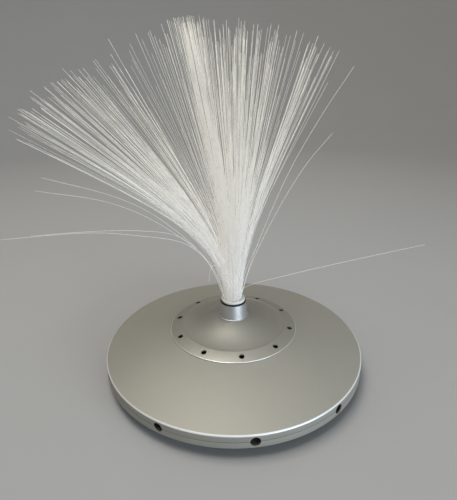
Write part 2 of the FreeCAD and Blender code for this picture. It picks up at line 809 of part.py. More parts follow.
def color_wheel():
    """Four tinted filters between the hub's flange and a washer, on the motor's shaft."""
    boss = s.hub_boss_radius
    hub_bore = s.shaft_radius + s.pot_clearance
    boss_plan = flat_sided(boss, HOLE_SIDES)
    flange_plan = flat_sided(s.hub_flange_radius, HOLE_SIDES)
    hub = raised("wheel_hub", lambda sketch: outline(sketch, boss_plan), hub_bottom,
                 filter_top - hub_bottom)
    padded(hub, "hub_flange", lambda sketch: outline(sketch, flange_plan),
           filter_bottom - s.hub_flange_height, s.hub_flange_height)
    bored(hub, "hub_bore", hub_bore, HOLE_SIDES)
    moved(hub, deep=s.wheel_offset)
    axis = Vector(0, s.wheel_offset.value, filter_bottom.value)
    thickness = s.filter_thickness.value
    disc = prism(s.wheel_radius.value, thickness, axis, ROUND_SIDES)
    disc = disc.cut(prism((boss + s.boss_clearance).value, thickness, axis, HOLE_SIDES))
    half = s.filter_gap.value / 2
    reach = s.wheel_radius.value * 2
    for index, tint in enumerate(("red", "amber", "green", "blue")):
        quarter = block(Vector(half, half, 0), Vector(reach, reach, thickness))
        quarter.rotate(Vector(0, 0, 0), Vector(0, 0, 1), 90.0 * index)
        quarter.translate(axis)
        spread("filter_" + tint, [disc.common(quarter)])

    def washer_plan(sketch):
        outline(sketch, flange_plan)
        outline(sketch, flat_sided(hub_bore, HOLE_SIDES))

    moved(raised("wheel_washer", washer_plan, filter_top, s.washer_height), deep=s.wheel_offset)


# The motor hangs by its mounting plate from the top of a folded bracket.
hub_bottom = filter_bottom - s.hub_flange_height - s.hub_sleeve_height
bracket_top = hub_bottom - s.hub_gap
plate_top = bracket_top - s.bracket_sheet
can_top = plate_top - s.ear_plate_height
can_bottom = can_top - s.can_height


def motor():
    """The gear motor with its mounting plate, output shaft and bracket."""
    bore = s.shaft_radius + s.shaft_clearance
    shaft_bore = flat_sided(bore, HOLE_SIDES, 0, -s.can_offset)
    can_plan = flat_sided(s.can_radius, ROUND_SIDES)
    can = raised("motor_can", lambda sketch: outline(sketch, can_plan), can_bottom, s.can_height)
    sunk(can, "can_bore", lambda sketch: outline(sketch, shaft_bore), can_top, s.shaft_depth)
    moved(can, deep=can_axis)

    def screw_holes(sketch):
        for side in (-1, 1):
            hole = s.screw_radius + s.screw_clearance
            outline(sketch, flat_sided(hole, SMALL_SIDES, s.ear_reach * side))

    def ears(sketch):
        end = s.ear_reach + s.ear_width / 2
        half = s.ear_width / 2
        wide = s.can_radius - s.plate_inset
        outline(sketch, [(-end, -half), (-wide, -half), (-wide, -wide), (wide, -wide),
                         (wide, -half), (end, -half), (end, half), (wide, half),
                         (wide, wide), (-wide, wide), (-wide, half), (-end, half)])
        outline(sketch, shaft_bore)
        screw_holes(sketch)

    moved(raised("motor_plate", ears, can_top, s.ear_plate_height), deep=can_axis)
    shaft_bottom = can_top - s.shaft_depth + s.shaft_end_gap
    shaft_top = filter_top + s.washer_height
    shaft_plan = flat_sided(s.shaft_radius * math.cos(math.pi / HOLE_SIDES), HOLE_SIDES)
    shaft = raised("motor_shaft", lambda sketch: outline(sketch, shaft_plan), shaft_bottom,
                   shaft_top - shaft_bottom)
    moved(shaft, deep=s.wheel_offset)
    leg = s.ear_reach + s.bracket_side_gap
    fold = s.bracket_sheet
    foot = leg + s.bracket_foot
    bracket = extruded(
        "motor_bracket",
        [
            (-foot, floor_top), (-leg + fold, floor_top),
            (-leg + fold, plate_top), (leg - fold, plate_top),
            (leg - fold, floor_top), (foot, floor_top),
            (foot, floor_top + fold), (leg, floor_top + fold),
            (leg, bracket_top), (-leg, bracket_top),
            (-leg, floor_top + fold), (-foot, floor_top + fold),
        ],
        s.bracket_width,
    )

    def openings(sketch):
        outline(sketch, flat_sided(s.hub_boss_radius, HOLE_SIDES, 0, -s.can_offset))
        screw_holes(sketch)

    pierced(bracket, "bracket_hole", openings, "XY_Plane")
    moved(bracket, deep=can_axis)
    screws = []
    for side in (-1, 1):
        fastener = screw((s.bracket_sheet + s.ear_plate_height + s.screw_tip).value)
        fastener.rotate(Vector(0, 0, 0), Vector(1, 0, 0), 180)
        fastener.translate(Vector(side * s.ear_reach.value, can_axis.value, bracket_top.value))
        screws.append(fastener)
    spread("motor_screws", screws)


# The lamp stands on a low folded bridge: shield first, then the socket with the capsule's pins.
capsule_top = filter_bottom - s.capsule_air
capsule_bottom = capsule_top - s.capsule_height
socket_bottom = capsule_bottom - s.socket_height
bridge_top = socket_bottom - s.shield_sheet


def lamp():
    """The capsule, its socket, the bright shield round it and the bridge that lifts them."""
    half = s.socket_length / 2 + s.bridge_margin
    foot = half + s.bracket_foot
    fold = s.bracket_sheet
    extruded(
        "lamp_bridge",
        [
            (-foot, floor_top), (-half + fold, floor_top),
            (-half + fold, bridge_top - fold), (half - fold, bridge_top - fold),
            (half - fold, floor_top), (foot, floor_top),
            (foot, floor_top + fold), (half, floor_top + fold),
            (half, bridge_top), (-half, bridge_top),
            (-half, floor_top + fold), (-foot, floor_top + fold),
        ],
        s.bridge_width,
    )
    inner = s.shield_half_width - s.shield_sheet
    shield_top = filter_bottom - s.shield_air
    extruded(
        "lamp_shield",
        [
            (-s.shield_half_width, bridge_top), (s.shield_half_width, bridge_top),
            (s.shield_half_width, shield_top), (inner, shield_top),
            (inner, socket_bottom), (-inner, socket_bottom),
            (-inner, shield_top), (-s.shield_half_width, shield_top),
        ],
        s.shield_depth,
    )

    def plan(sketch):
        wide = s.socket_length / 2
        deep = s.socket_width / 2
        outline(sketch, [(-wide, -deep), (wide, -deep), (wide, deep), (-wide, deep)])

    socket = raised("lamp_socket", plan, socket_bottom, s.socket_height)
    slot = s.pin_side / 2 + s.pin_clearance

    def slots(sketch):
        for side in (-1, 1):
            middle = s.pin_spacing / 2 * side
            outline(sketch, [(middle - slot, -slot), (middle + slot, -slot),
                             (middle + slot, slot), (middle - slot, slot)])

    pierced(socket, "pin_slot", slots, "XY_Plane")
    glass = prism(s.capsule_radius.value, s.capsule_height.value,
                  Vector(0, 0, capsule_bottom.value), HOLE_SIDES)
    pin_half = s.pin_side.value / 2
    for side in (-1, 1):
        middle = side * s.pin_spacing.value / 2
        low = Vector(middle - pin_half, -pin_half, (capsule_bottom - s.pin_length).value)
        high = Vector(middle + pin_half, pin_half, capsule_bottom.value)
        glass = glass.fuse(block(low, high))
    spread("halogen_capsule", [glass])


def power():
    """The transformer that feeds the capsule, and the terminal block where the cord ends."""
    base = floor_top.value + s.coil_bulge.value
    wide = s.core_width.value / 2
    long = s.core_length.value / 2
    tongue = s.core_tongue.value / 2
    leg = s.core_leg.value
    height = s.core_height.value
    centre = Vector(s.transformer_inset.value - s.well_radius.value, 0, 0)
    core = block(Vector(-wide, -long, base), Vector(wide, long, base + height))
    for side in (-1, 1):
        near, far = sorted((side * tongue, side * (long - leg)))
        window = block(Vector(-wide + leg, near, base), Vector(wide - leg, far, base + height))
        core = core.cut(window)
    core.translate(centre)
    spread("transformer_core", [core])
    gap = s.coil_clearance.value
    bulge = s.coil_bulge.value
    coil = block(Vector(-wide + leg + gap, -long + leg + gap, base - bulge + gap),
                 Vector(wide - leg - gap, long - leg - gap, base + height + bulge))
    tunnel = block(Vector(-wide, -tongue - gap, base - gap),
                   Vector(wide, tongue + gap, base + height + gap))
    coil = coil.cut(tunnel)
    coil.translate(centre)
    spread("transformer_coil", [coil])
    half = s.terminal_width.value / 2
    low = floor_top.value
    middle = low + s.terminal_base.value
    pitch = s.terminal_pitch.value
    tower_wide = s.tower_width.value / 2
    tower_long = s.tower_length.value / 2
    terminal = block(Vector(-half, -1.5 * pitch, low), Vector(half, 1.5 * pitch, middle))
    for way in (-1, 0, 1):
        tower = block(Vector(-tower_wide, way * pitch - tower_long, middle),
                      Vector(tower_wide, way * pitch + tower_long, middle + s.tower_height.value))
        terminal = terminal.fuse(tower)
    terminal = terminal.removeSplitter()
    terminal.translate(Vector(s.well_radius.value - s.terminal_inset.value, 0, 0))
    spread("terminal_block", [terminal])


def feet():
    """Rubber feet under the flat floor."""
    one = faceted([(s.foot_tip_radius, 0), (s.foot_radius, floor_bottom)], HOLE_SIDES)
    one.translate(Vector(s.well_radius.value - s.foot_inset.value, 0, 0))
    count = int(s.foot_count.value)
    spread("rubber_feet", round_about(one, count, 180.0 / count))


def shell_fixings():
    """Bent tabs inside the rim of the upper shell, and the screws that draw the lower shell up."""
    face = tab_face.value
    fold = s.bracket_sheet.value
    half = s.tab_width.value / 2
    leg = s.tab_leg.value
    low = (rim_bottom + s.wall).value
    top = low + s.tab_rise.value
    profile = [Vector(face, -half, low), Vector(face, -half, top), Vector(face - fold, -half, top),
               Vector(face - fold, -half, low + fold), Vector(face - leg, -half, low + fold),
               Vector(face - leg, -half, low)]
    tab = Part.Face(Part.makePolygon(profile + profile[:1])).extrude(Vector(0, 2 * half, 0))
    hole_radius = (s.screw_radius + s.screw_clearance).value
    seat = Vector(tab_screw_circle.value, 0, low)
    tab = tab.cut(prism(hole_radius, fold, seat, SMALL_SIDES))
    fastener = screw((s.wall + s.bracket_sheet + s.screw_tip).value)
    fastener.translate(Vector(tab_screw_circle.value, 0, rim_bottom.value))
    first = FRONT + s.hole_turn.value + s.tab_turn.value
    count = int(s.tab_count.value)
    spread("shell_tabs", round_about(tab, count, first))
    spread("shell_screws", round_about(fastener, count, first))


# Vents that a clamp follows, half a gap further round: clear of the wheel.
CLAMPS_AFTER = (0, 3, 6)


def turned_to_gaps(shape):
    """Copies of a shape, one in each gap between two vents that holds a clamp."""
    copies = []
    for vent in CLAMPS_AFTER:
        copy = shape.copy()
        turn = FRONT + s.hole_turn.value + 360.0 * (vent + 0.5) / s.hole_count.value
        copy.rotate(Vector(0, 0, 0), Vector(0, 0, 1), turn)
        copies.append(copy)
    return copies


def cap_fixings():
    """Clamps that reach from the cap's studs under the edge of the upper shell, and their nuts."""
    circle_of_studs = cap_opening - s.clamp_inset
    reach = circle_of_studs.value
    half = s.clamp_width.value / 2
    stud_half = s.stud_side.value / 2
    gap = s.stud_clearance.value
    outer = s.cap_radius + s.clamp_reach
    clamp_top = cone_height(outer).value - s.wall.value - gap
    nut_top = clamp_top - s.bracket_sheet.value
    nut_bottom = nut_top - s.clamp_nut_height.value
    stud_top = cone_height(circle_of_studs + s.stud_side).value - gap
    slot = block(Vector(reach - stud_half - gap, -stud_half - gap, nut_bottom),
                 Vector(reach + stud_half + gap, stud_half + gap, clamp_top))
    clamp = block(Vector(reach - s.clamp_tail.value, -half, nut_top),
                  Vector(outer.value, half, clamp_top)).cut(slot)
    nut = prism(s.clamp_nut_flats.value / 2, s.clamp_nut_height.value,
                Vector(reach, 0, nut_bottom)).cut(slot)
    stud = block(Vector(reach - stud_half, -stud_half, nut_bottom - s.stud_tip.value),
                 Vector(reach + stud_half, stud_half, stud_top))
    spread("cap_clamps", turned_to_gaps(clamp))
    spread("cap_nuts", turned_to_gaps(nut))
    spread("cap_studs", turned_to_gaps(stud))


def cord_bush():
    """The bush in the hindmost rim hole, trapped between the two shells."""
    body_plan = flat_sided(s.rim_hole_radius - s.bush_clearance, HOLE_SIDES)
    flange_plan = flat_sided(s.bush_flange_radius, HOLE_SIDES)
    body = raised("cord_bush", lambda sketch: outline(sketch, body_plan), -s.bush_length,
                  s.bush_length + s.bush_seat_gap)
    padded(body, "bush_flange", lambda sketch: outline(sketch, flange_plan), s.bush_seat_gap,
           s.bush_flange)
    reach = s.bush_length + s.bush_seat_gap + s.bush_flange
    sunk(body, "cord_hole", lambda sketch: circle(sketch, 0, 0, s.cord_radius),
         s.bush_seat_gap + s.bush_flange, reach)
    angle = math.radians(FRONT + 180.0 + s.hole_turn.value)
    out = Vector(math.cos(angle), math.sin(angle), 0)
    along = Vector(-math.sin(angle), math.cos(angle), 0)
    centre = out * s.rim_radius.value + Vector(0, 0, seam.value)
    body.Placement = Placement(centre, Rotation(along, Vector(0, 0, 1), out, "ZXY"))


upper_shell()
lower_shell()
vent_cap()
neck_sleeve()
neck_nut()
slip_ring()
ferrule()
fiber_bundle()
fiber_spray()
stray_fibers()
color_wheel()
motor()
lamp()
power()
feet()
shell_fixings()
cap_fixings()
cord_bush()

doc.recompute()
for thing in doc.Objects:
    if "Invalid" in thing.State or "Error" in thing.State:
        raise RuntimeError(f"{thing.Label} is {thing.State}")
os.makedirs("parts", exist_ok=True)
for thing in nodes:
    shape = thing.Shape
    if shape.isNull() or not shape.isValid() or not shape.Solids:
        raise RuntimeError(f"{thing.Label} is no valid solid")
    shape.exportStep(f"parts/{thing.Label}.step")
    box = shape.BoundBox
    print(f"{thing.Label:18} solids {len(shape.Solids):3}  volume {shape.Volume:10.1f}  "
          f"x {box.XMin:7.1f} {box.XMax:7.1f}  y {box.YMin:7.1f} {box.YMax:7.1f}  "
          f"z {box.ZMin:6.1f} {box.ZMax:6.1f}")
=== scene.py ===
# %% [markdown]
# # A fiber optic lamp in Blender
#
# The lamp is two spun aluminium dishes, rim to rim, with a vented cap, a tapered neck and a wide
# spray of clear plastic fibers. A CAD model fixes every size and every joint. This lesson builds
# the visible skin over it: smooth metal where the CAD has flats, and over a thousand fibers where
# the CAD has a few dozen stand-ins. Each step says what the piece is, how it could be made, and
# why it is made this way.

# %% Load the fixed frame
import math
import random

import bmesh
import bpy
from mathutils import Matrix, Vector


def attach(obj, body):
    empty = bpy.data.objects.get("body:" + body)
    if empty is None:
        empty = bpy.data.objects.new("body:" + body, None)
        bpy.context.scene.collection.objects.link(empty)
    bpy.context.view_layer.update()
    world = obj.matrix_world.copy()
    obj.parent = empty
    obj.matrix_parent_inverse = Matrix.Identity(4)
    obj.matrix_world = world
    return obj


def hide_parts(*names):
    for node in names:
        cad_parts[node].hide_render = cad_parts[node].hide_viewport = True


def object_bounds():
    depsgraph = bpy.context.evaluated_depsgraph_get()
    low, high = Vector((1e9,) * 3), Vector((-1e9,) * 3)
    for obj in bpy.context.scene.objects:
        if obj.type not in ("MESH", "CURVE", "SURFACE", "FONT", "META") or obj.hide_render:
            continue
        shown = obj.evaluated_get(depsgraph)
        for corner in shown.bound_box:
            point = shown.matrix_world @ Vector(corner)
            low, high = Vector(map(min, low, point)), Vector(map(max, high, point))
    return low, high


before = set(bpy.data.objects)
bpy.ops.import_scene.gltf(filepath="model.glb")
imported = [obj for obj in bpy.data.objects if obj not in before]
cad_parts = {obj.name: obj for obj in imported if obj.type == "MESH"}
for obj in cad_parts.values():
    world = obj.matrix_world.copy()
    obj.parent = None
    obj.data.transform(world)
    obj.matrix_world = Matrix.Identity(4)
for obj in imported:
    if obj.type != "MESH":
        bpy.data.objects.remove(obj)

MM = 0.001
cad_low, cad_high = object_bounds()
print("CAD box", [round(v, 4) for v in cad_low], [round(v, 4) for v in cad_high])

# %% [markdown]
# ## The camera
#
# A camera can be placed by eye or by numbers. Numbers are better here: the view is a short lens,
# about 20 degrees above the table and turned a touch, so the rim's ellipse and the neck come out
# at the right proportions. The axes of the camera are worked out first, then put in its matrix.
# The small vertical shift keeps the whole spray in frame without tilting the lens.

# %% Place the camera
IMAGE_WIDTH, IMAGE_HEIGHT = 457, 500
FOCAL_PIXELS = 420.5
AXIS_ROW = 232.3
pitch, yaw, roll = (math.radians(angle) for angle in (19.956, -0.595, -0.647))

forward = Vector((math.sin(yaw) * math.cos(pitch), math.cos(yaw) * math.cos(pitch), -math.sin(pitch)))
level = Vector((math.cos(yaw), -math.sin(yaw), 0))
upright = level.cross(forward)
right = level * math.cos(roll) + upright * math.sin(roll)
up = upright * math.cos(roll) - level * math.sin(roll)

lens = bpy.data.cameras.new("studio_camera")
lens.sensor_width = 36.0
lens.lens = 36.0 * FOCAL_PIXELS / IMAGE_HEIGHT
lens.shift_y = (AXIS_ROW - IMAGE_HEIGHT / 2) / IMAGE_HEIGHT
camera = bpy.data.objects.new("studio_camera", lens)
bpy.context.scene.collection.objects.link(camera)
CAMERA_SPOT = Vector((0, -0.4392, 0.3253))
place = Matrix((right, up, -forward)).transposed().to_4x4()
place.translation = CAMERA_SPOT
camera.matrix_world = place
bpy.context.scene.camera = camera
print("lens", round(lens.lens, 2), "mm")

# %% [markdown]
# ## The lamp's main sizes
#
# Spun metal is turned on a lathe, so everything follows from radii and heights. They are written
# here once, in millimetres, and repeat the CAD's sizes. The upper dish is a straight cone, so one
# small function gives its height at any radius.

# %% Sizes of the turned parts
RIM, WALL = 150.0, 1.2
FLOOR, RIM_BOTTOM, SEAM, RIM_TOP = 4.0, 13.0, 19.6, 27.0
SEAM_GAP, EDGE_EASE = 0.2, 0.3
WELL = 96.0
CAP, CAP_OPENING = 74.5, 71.0
CREASE = 59.3
BAND_END, FLARE_FOOT_DROP = 60.0, 0.45
CONE_RISE = 20.0
NECK_SEAT, NECK_TOP, NECK_SEAT_RADIUS = 62.2, 80.0, 18.2
RING_TOP, FLANGE_TOP, BUNDLE_TOP = 81.9, 84.6, 84.0
FERRULE_BOTTOM = 46.5
HOLES, FIRST_HOLE = 10, math.radians(7.4 - 90)
RIM_HOLE_RADIUS, VENT_RADIUS, VENT_CIRCLE = 5.0, 3.0, 66.8


def cone_height(radius):
    return RIM_TOP + CONE_RISE / (RIM - CAP) * (RIM - radius)


print("cap edge sits at", round(cone_height(CAP), 2), "mm")

# %% [markdown]
# ## A small lathe
#
# Blender has a Screw modifier and a Spin tool that turn a profile. Writing the rings by hand in
# bmesh is as short, needs no live modifier, and lets the profile's corners be rounded first.
# Real spun and turned edges are never perfectly sharp: the tiny round catches a line of light,
# which is most of what makes such metal look real.

# %% Round the corners of a profile
NEARLY_STRAIGHT = math.radians(172)


def eased(profile, radius, steps=3):
    """Rounds each corner of a closed profile by a small arc."""
    soft = []
    count = len(profile)
    for index, here in enumerate(profile):
        point = Vector(here)
        before = Vector(profile[index - 1]) - point
        after = Vector(profile[(index + 1) % count]) - point
        lone = here[0] < 1e-6 or before.length < 1e-6 or after.length < 1e-6
        if lone or before.angle(after) > NEARLY_STRAIGHT:
            soft.append(tuple(point))
            continue
        cut = min(radius, before.length * 0.45, after.length * 0.45)
        start = point + before.normalized() * cut
        end = point + after.normalized() * cut
        for step in range(steps + 1):
            t = step / steps
            soft.append(tuple(start * (1 - t) ** 2 + point * 2 * t * (1 - t) + end * t * t))
    return soft


# %% Turn a profile into a mesh
def new_object(name, maker, sharp=35.0):
    """Makes an object from a bmesh, smooth except at its sharp edges."""
    mesh = bpy.data.meshes.new(name)
    bmesh.ops.recalc_face_normals(maker, faces=maker.faces)
    maker.to_mesh(mesh)
    maker.free()
    mesh.shade_smooth()
    mesh.set_sharp_from_angle(angle=math.radians(sharp))
    thing = bpy.data.objects.new(name, mesh)
    bpy.context.scene.collection.objects.link(thing)
    return thing


def lathe(maker, profile, segments=240, turn=None):
    """Spins a closed profile of (radius, height) round the Z axis, or round another place."""
    place = turn or Matrix.Identity(4)
    rings = []
    for radius, height in profile:
        ring = []
        for step in range(segments):
            angle = 2 * math.pi * step / segments
            spot = Vector((radius * math.cos(angle), radius * math.sin(angle), height)) * MM
            ring.append(maker.verts.new(place @ spot))
        rings.append(ring)
    for low, high in zip(rings, rings[1:] + rings[:1]):
        for step in range(segments):
            after = (step + 1) % segments
            maker.faces.new((low[step], low[after], high[after], high[step]))
    bmesh.ops.remove_doubles(maker, verts=maker.verts, dist=1e-7)


def turned(name, profile, segments=240, sharp=35.0):
    maker = bmesh.new()
    lathe(maker, profile, segments)
    thing = new_object(name, maker, sharp)
    print(name, len(thing.data.polygons), "faces")
    return thing


# %% [markdown]
# ## Drilled holes
#
# Ten vents go through the rim, and ten through the cap. They could be modelled into the rings,
# but a Boolean is nearer to what the drill does, and it leaves a true round hole in a curved
# wall. The result is read back as a plain mesh, so no modifier stays on the piece.

# %% Drill a ring of holes
def drilled(thing, radius, reach, height, level_holes):
    """Cuts the ring of vents: level ones through a rim wall, or upright ones through a cap."""
    maker = bmesh.new()
    for index in range(HOLES):
        angle = FIRST_HOLE + 2 * math.pi * index / HOLES
        out = Vector((math.cos(angle), math.sin(angle), 0))
        centre = (out * reach + Vector((0, 0, height))) * MM
        place = Matrix.Translation(centre)
        if level_holes:
            place = place @ out.to_track_quat("Z", "Y").to_matrix().to_4x4()
        lathe(maker, [(0, -8), (radius, -8), (radius, 8), (0, 8)], 40, place)
    cutter = new_object("drill", maker)
    boolean = thing.modifiers.new("drill", "BOOLEAN")
    boolean.operation = "DIFFERENCE"
    boolean.solver = "EXACT"
    boolean.object = cutter
    bpy.context.view_layer.update()
    shape = bpy.data.meshes.new_from_object(thing.evaluated_get(bpy.context.evaluated_depsgraph_get()))
    thing.modifiers.clear()
    thing.data = shape
    shape.name = thing.name
    shape.shade_smooth()
    shape.set_sharp_from_angle(angle=math.radians(30))
    bpy.data.objects.remove(cutter)
    print(thing.name, "drilled,", len(shape.polygons), "faces")


# %% [markdown]
# ## The two dishes
#
# The base is one dish over another. The upper one is a rim wall with a straight cone. The lower
# one is a rim wall, a level underside and a pressed well for the feet. Both are closed profiles
# of sheet 1.2 mm thick. Their rims meet at a seam, and the rounding of the two edges leaves the
# thin dark line that runs round the middle of the rim.

# %% Turn the dishes
edge = RIM - 1.0
inside = RIM - WALL
upper_profile = eased(
    [
        (RIM, SEAM + SEAM_GAP), (RIM, RIM_TOP - 0.8), (edge, cone_height(edge)),
        (CAP_OPENING, cone_height(CAP_OPENING)), (CAP_OPENING, cone_height(CAP_OPENING) - WALL),
        (inside, cone_height(inside) - WALL), (inside, SEAM + SEAM_GAP),
    ],
    EDGE_EASE,
)
upper_dish = turned("upper_dish", upper_profile, 300)
drilled(upper_dish, RIM_HOLE_RADIUS, RIM, SEAM, True)

lower_profile = eased(
    [
        (0, FLOOR), (WELL, FLOOR), (WELL, RIM_BOTTOM), (RIM, RIM_BOTTOM), (RIM, SEAM - SEAM_GAP),
        (inside, SEAM - SEAM_GAP), (inside, RIM_BOTTOM + WALL), (WELL - WALL, RIM_BOTTOM + WALL),
        (WELL - WALL, FLOOR + WALL), (0, FLOOR + WALL),
    ],
    EDGE_EASE,
)
lower_dish = turned("lower_dish", lower_profile, 300)
drilled(lower_dish, RIM_HOLE_RADIUS, RIM, SEAM, True)

# %% [markdown]
# ## The vent cap
#
# The cap lies on the cone as a second sheet, so its edge is a bright step. Inside the ring of
# vents the sheet is pressed down a little, which draws a fine crease, and from there it flares up
# to the neck in a soft S: flat at the crease, steepest halfway, and easing again at the neck. A
# Bezier curve with two handles describes such a bend better than arcs, and it is sampled as points
# of the profile, which is all a lathe needs. A subdivision surface would also soften the crease.

# %% Turn the cap
def bezier(start, first, second, end, steps):
    """Points of a cubic Bezier curve from start to end, shaped by two handles."""
    points = []
    for step in range(steps + 1):
        t = step / steps
        points.append(tuple(
            a * (1 - t) ** 3 + 3 * b * t * (1 - t) ** 2 + 3 * c * t * t * (1 - t) + d * t ** 3
            for a, b, c, d in zip(start, first, second, end)))
    return points


foot = (CREASE, cone_height(CREASE) + WALL - FLARE_FOOT_DROP)
seat = (NECK_SEAT_RADIUS, NECK_SEAT)
low_handle = (CREASE - 21, foot[1] + 1.2)
high_handle = (NECK_SEAT_RADIUS + 12, NECK_SEAT - 1.4)
flare = bezier(foot, low_handle, high_handle, seat, 28)
under = [(radius, height - WALL) for radius, height in reversed(flare)]
SHANK_HOLE = 13.6
cap_profile = eased(
    [(CAP, cone_height(CAP)), (CAP, cone_height(CAP) + WALL), (BAND_END, cone_height(BAND_END) + WALL)]
    + flare + [(SHANK_HOLE, NECK_SEAT), (SHANK_HOLE, NECK_SEAT - WALL)] + under,
    EDGE_EASE,
)
cap = turned("cap", cap_profile, 240, 60)
drilled(cap, VENT_RADIUS, VENT_CIRCLE, cone_height(VENT_CIRCLE), False)

# %% [markdown]
# ## Faces that take another finish
#
# One dish carries three finishes. Its cone has a warm satin coat. Its rim wall is turned finer, and
# the cool light beside it is painted into its color as a bluish reflection. The side that faces the
# hollow, and the walls of the drilled holes, are dull and painted near black as shade, to read as
# darkness through a vent. Cutting the dish into three objects would work too, but a material index
# for each face keeps it one piece of metal.

# %% Sort the faces by where they lie
# Index 1 takes the near-black painted shade; index 2 the rim wall finish with its painted bluish
# reflection.
OUTSIDE, INSIDE, RIM_WALL = 0, 1, 2


def sort_faces(thing, hollow, hole_radius, reach, height, level_holes):
    """Numbers the faces: those towards the hollow and in the holes, and those of the rim's wall."""
    counts = [0, 0, 0]
    for face in thing.data.polygons:
        spot = face.center / MM
        out = Vector((spot.x, spot.y, 0)).normalized()
        radius, outward = math.hypot(spot.x, spot.y), face.normal.dot(out)
        angle = math.atan2(spot.y, spot.x) - FIRST_HOLE
        apart = angle - round(angle / (2 * math.pi / HOLES)) * 2 * math.pi / HOLES
        off = math.hypot(radius * math.sin(apart), (spot.z - height) if level_holes else (radius - reach))
        in_hole = off < hole_radius + 0.02 and abs(radius - reach) < 6
        # Faces towards the hollow and in the holes get the near-black painted shade.
        if in_hole or face.normal.z * hollow > 0.3 or outward < -0.3:
            face.material_index = INSIDE
        elif abs(radius - RIM) < 0.1:
            face.material_index = RIM_WALL
        counts[face.material_index] += 1
    print(thing.name, "outside, inside, rim wall:", counts)


sort_faces(upper_dish, -1, RIM_HOLE_RADIUS, RIM, SEAM, True)
sort_faces(lower_dish, 1, RIM_HOLE_RADIUS, RIM, SEAM, True)
sort_faces(cap, -1, VENT_RADIUS, VENT_CIRCLE, 0, False)

# %% [markdown]
# ## Neck, ring and ferrule
#
# These are small turned parts: a tapered aluminium neck with a lip at its foot, a black ring, and
# the white flange of the ferrule that grips the fibers. Their edges are rounded by a few tenths
# of a millimetre, enough to draw a highlight at this size.

# %% Turn the neck's stack
BORE, SHANK, LIP = 12.08, 13.38, 17.8
TAPER_FOOT, TAPER_TOP = 16.8, 15.1
SHANK_END = NECK_SEAT - 7.2
neck = turned("neck", eased(
    [
        (BORE, SHANK_END), (SHANK, SHANK_END), (SHANK, NECK_SEAT), (LIP, NECK_SEAT),
        (LIP, NECK_SEAT + 0.9), (TAPER_FOOT, NECK_SEAT + 1.3), (TAPER_TOP, NECK_TOP), (BORE, NECK_TOP),
    ],
    0.35, 4), 160)
black_ring = turned("black_ring", eased(
    [(BORE, NECK_TOP), (15.0, NECK_TOP), (15.0, RING_TOP), (BORE, RING_TOP)], 0.5, 4), 160)
TUBE_INNER, TUBE_OUTER, FLANGE, BUNDLE = 11.0, 12.0, 14.0, 10.95
flange = turned("white_ferrule", eased(
    [
        (TUBE_INNER, FERRULE_BOTTOM), (TUBE_OUTER, FERRULE_BOTTOM), (TUBE_OUTER, RING_TOP),
        (FLANGE, RING_TOP), (FLANGE, FLANGE_TOP), (TUBE_INNER, FLANGE_TOP),
    ],
    0.7, 5), 160)
bundle = turned("potted_bundle", eased(
    [(0, FERRULE_BOTTOM), (BUNDLE, FERRULE_BOTTOM), (BUNDLE, BUNDLE_TOP), (0, BUNDLE_TOP)], EDGE_EASE), 96)

# %% [markdown]
# ## Feet and cord bush
#
# Four rubber feet stand under the well, and a black bush fills the hindmost vent of the rim,
# where the cord would come in. Both are turned parts as well; the lathe takes a placing matrix,
# so the same few lines make the feet upright and the bush lying along its hole.

# %% Turn the feet and the bush
FOOT_CIRCLE = 82
maker = bmesh.new()
foot_profile = eased([(0, 0), (6.5, 0), (8.0, FLOOR), (0, FLOOR)], 0.6)
for corner in range(4):
    angle = math.radians(45 + 90 * corner)
    spot = Vector((math.cos(angle), math.sin(angle), 0)) * FOOT_CIRCLE * MM
    lathe(maker, foot_profile, 40, Matrix.Translation(spot))
feet = new_object("rubber_foot_set", maker)

maker = bmesh.new()
angle = FIRST_HOLE + math.pi
out = Vector((math.cos(angle), math.sin(angle), 0))
place = Matrix.Translation((out * RIM + Vector((0, 0, SEAM))) * MM)
place = place @ out.to_track_quat("Z", "Y").to_matrix().to_4x4()
bush_profile = [(3.2, -9), (4.9, -9), (4.9, 0.1), (7.0, 0.1), (7.0, 1.7), (3.2, 1.7)]
lathe(maker, eased(bush_profile, 0.5), 64, place)
bush = new_object("inlet_bush", maker)
print("feet", len(feet.data.polygons), "faces, bush", len(bush.data.polygons), "faces")

# %% [markdown]
# ## The fiber spray
#
# The spray is a great many drawn plastic fibers, each about half a millimetre thick. Blender's
# hair system could grow them, but hair lives on a modifier and doesn't leave with the mesh, so
# each fiber is a thin tube of its own. A fiber leaves the ferrule nearly upright, bends in its
# first third, where its neighbours push it aside, and runs on almost straight.

# %% Draw one fiber
FIBER_LENGTH = 303.0
FIBER_RADIUS, TIP_TAPER = 0.225, 0.4
LEAN_AT_ROOT, LEAN_GAINED, BEND_SHARE = 0.10, 0.92, 0.27
draw = random.Random(11)


def fiber_path(root, end_lean, azimuth, length, steps, sway, swing):
    """Points along one fiber, in millimetres. Sway bends it sideways by a few degrees."""
    point = Vector(root)
    points = [point.copy()]
    for step in range(steps):
        along = (step + 0.5) / steps
        settled = 1.0 - math.exp(-(along * length / (BEND_SHARE * FIBER_LENGTH)) ** 1.5)
        lean = math.radians(end_lean * (LEAN_AT_ROOT + LEAN_GAINED * settled))
        way = math.radians(azimuth + sway * math.sin(along * math.pi * swing))
        run = Vector((math.sin(lean) * math.cos(way), math.sin(lean) * math.sin(way), math.cos(lean)))
        point = point + run * (length / steps)
        points.append(point.copy())
    return points


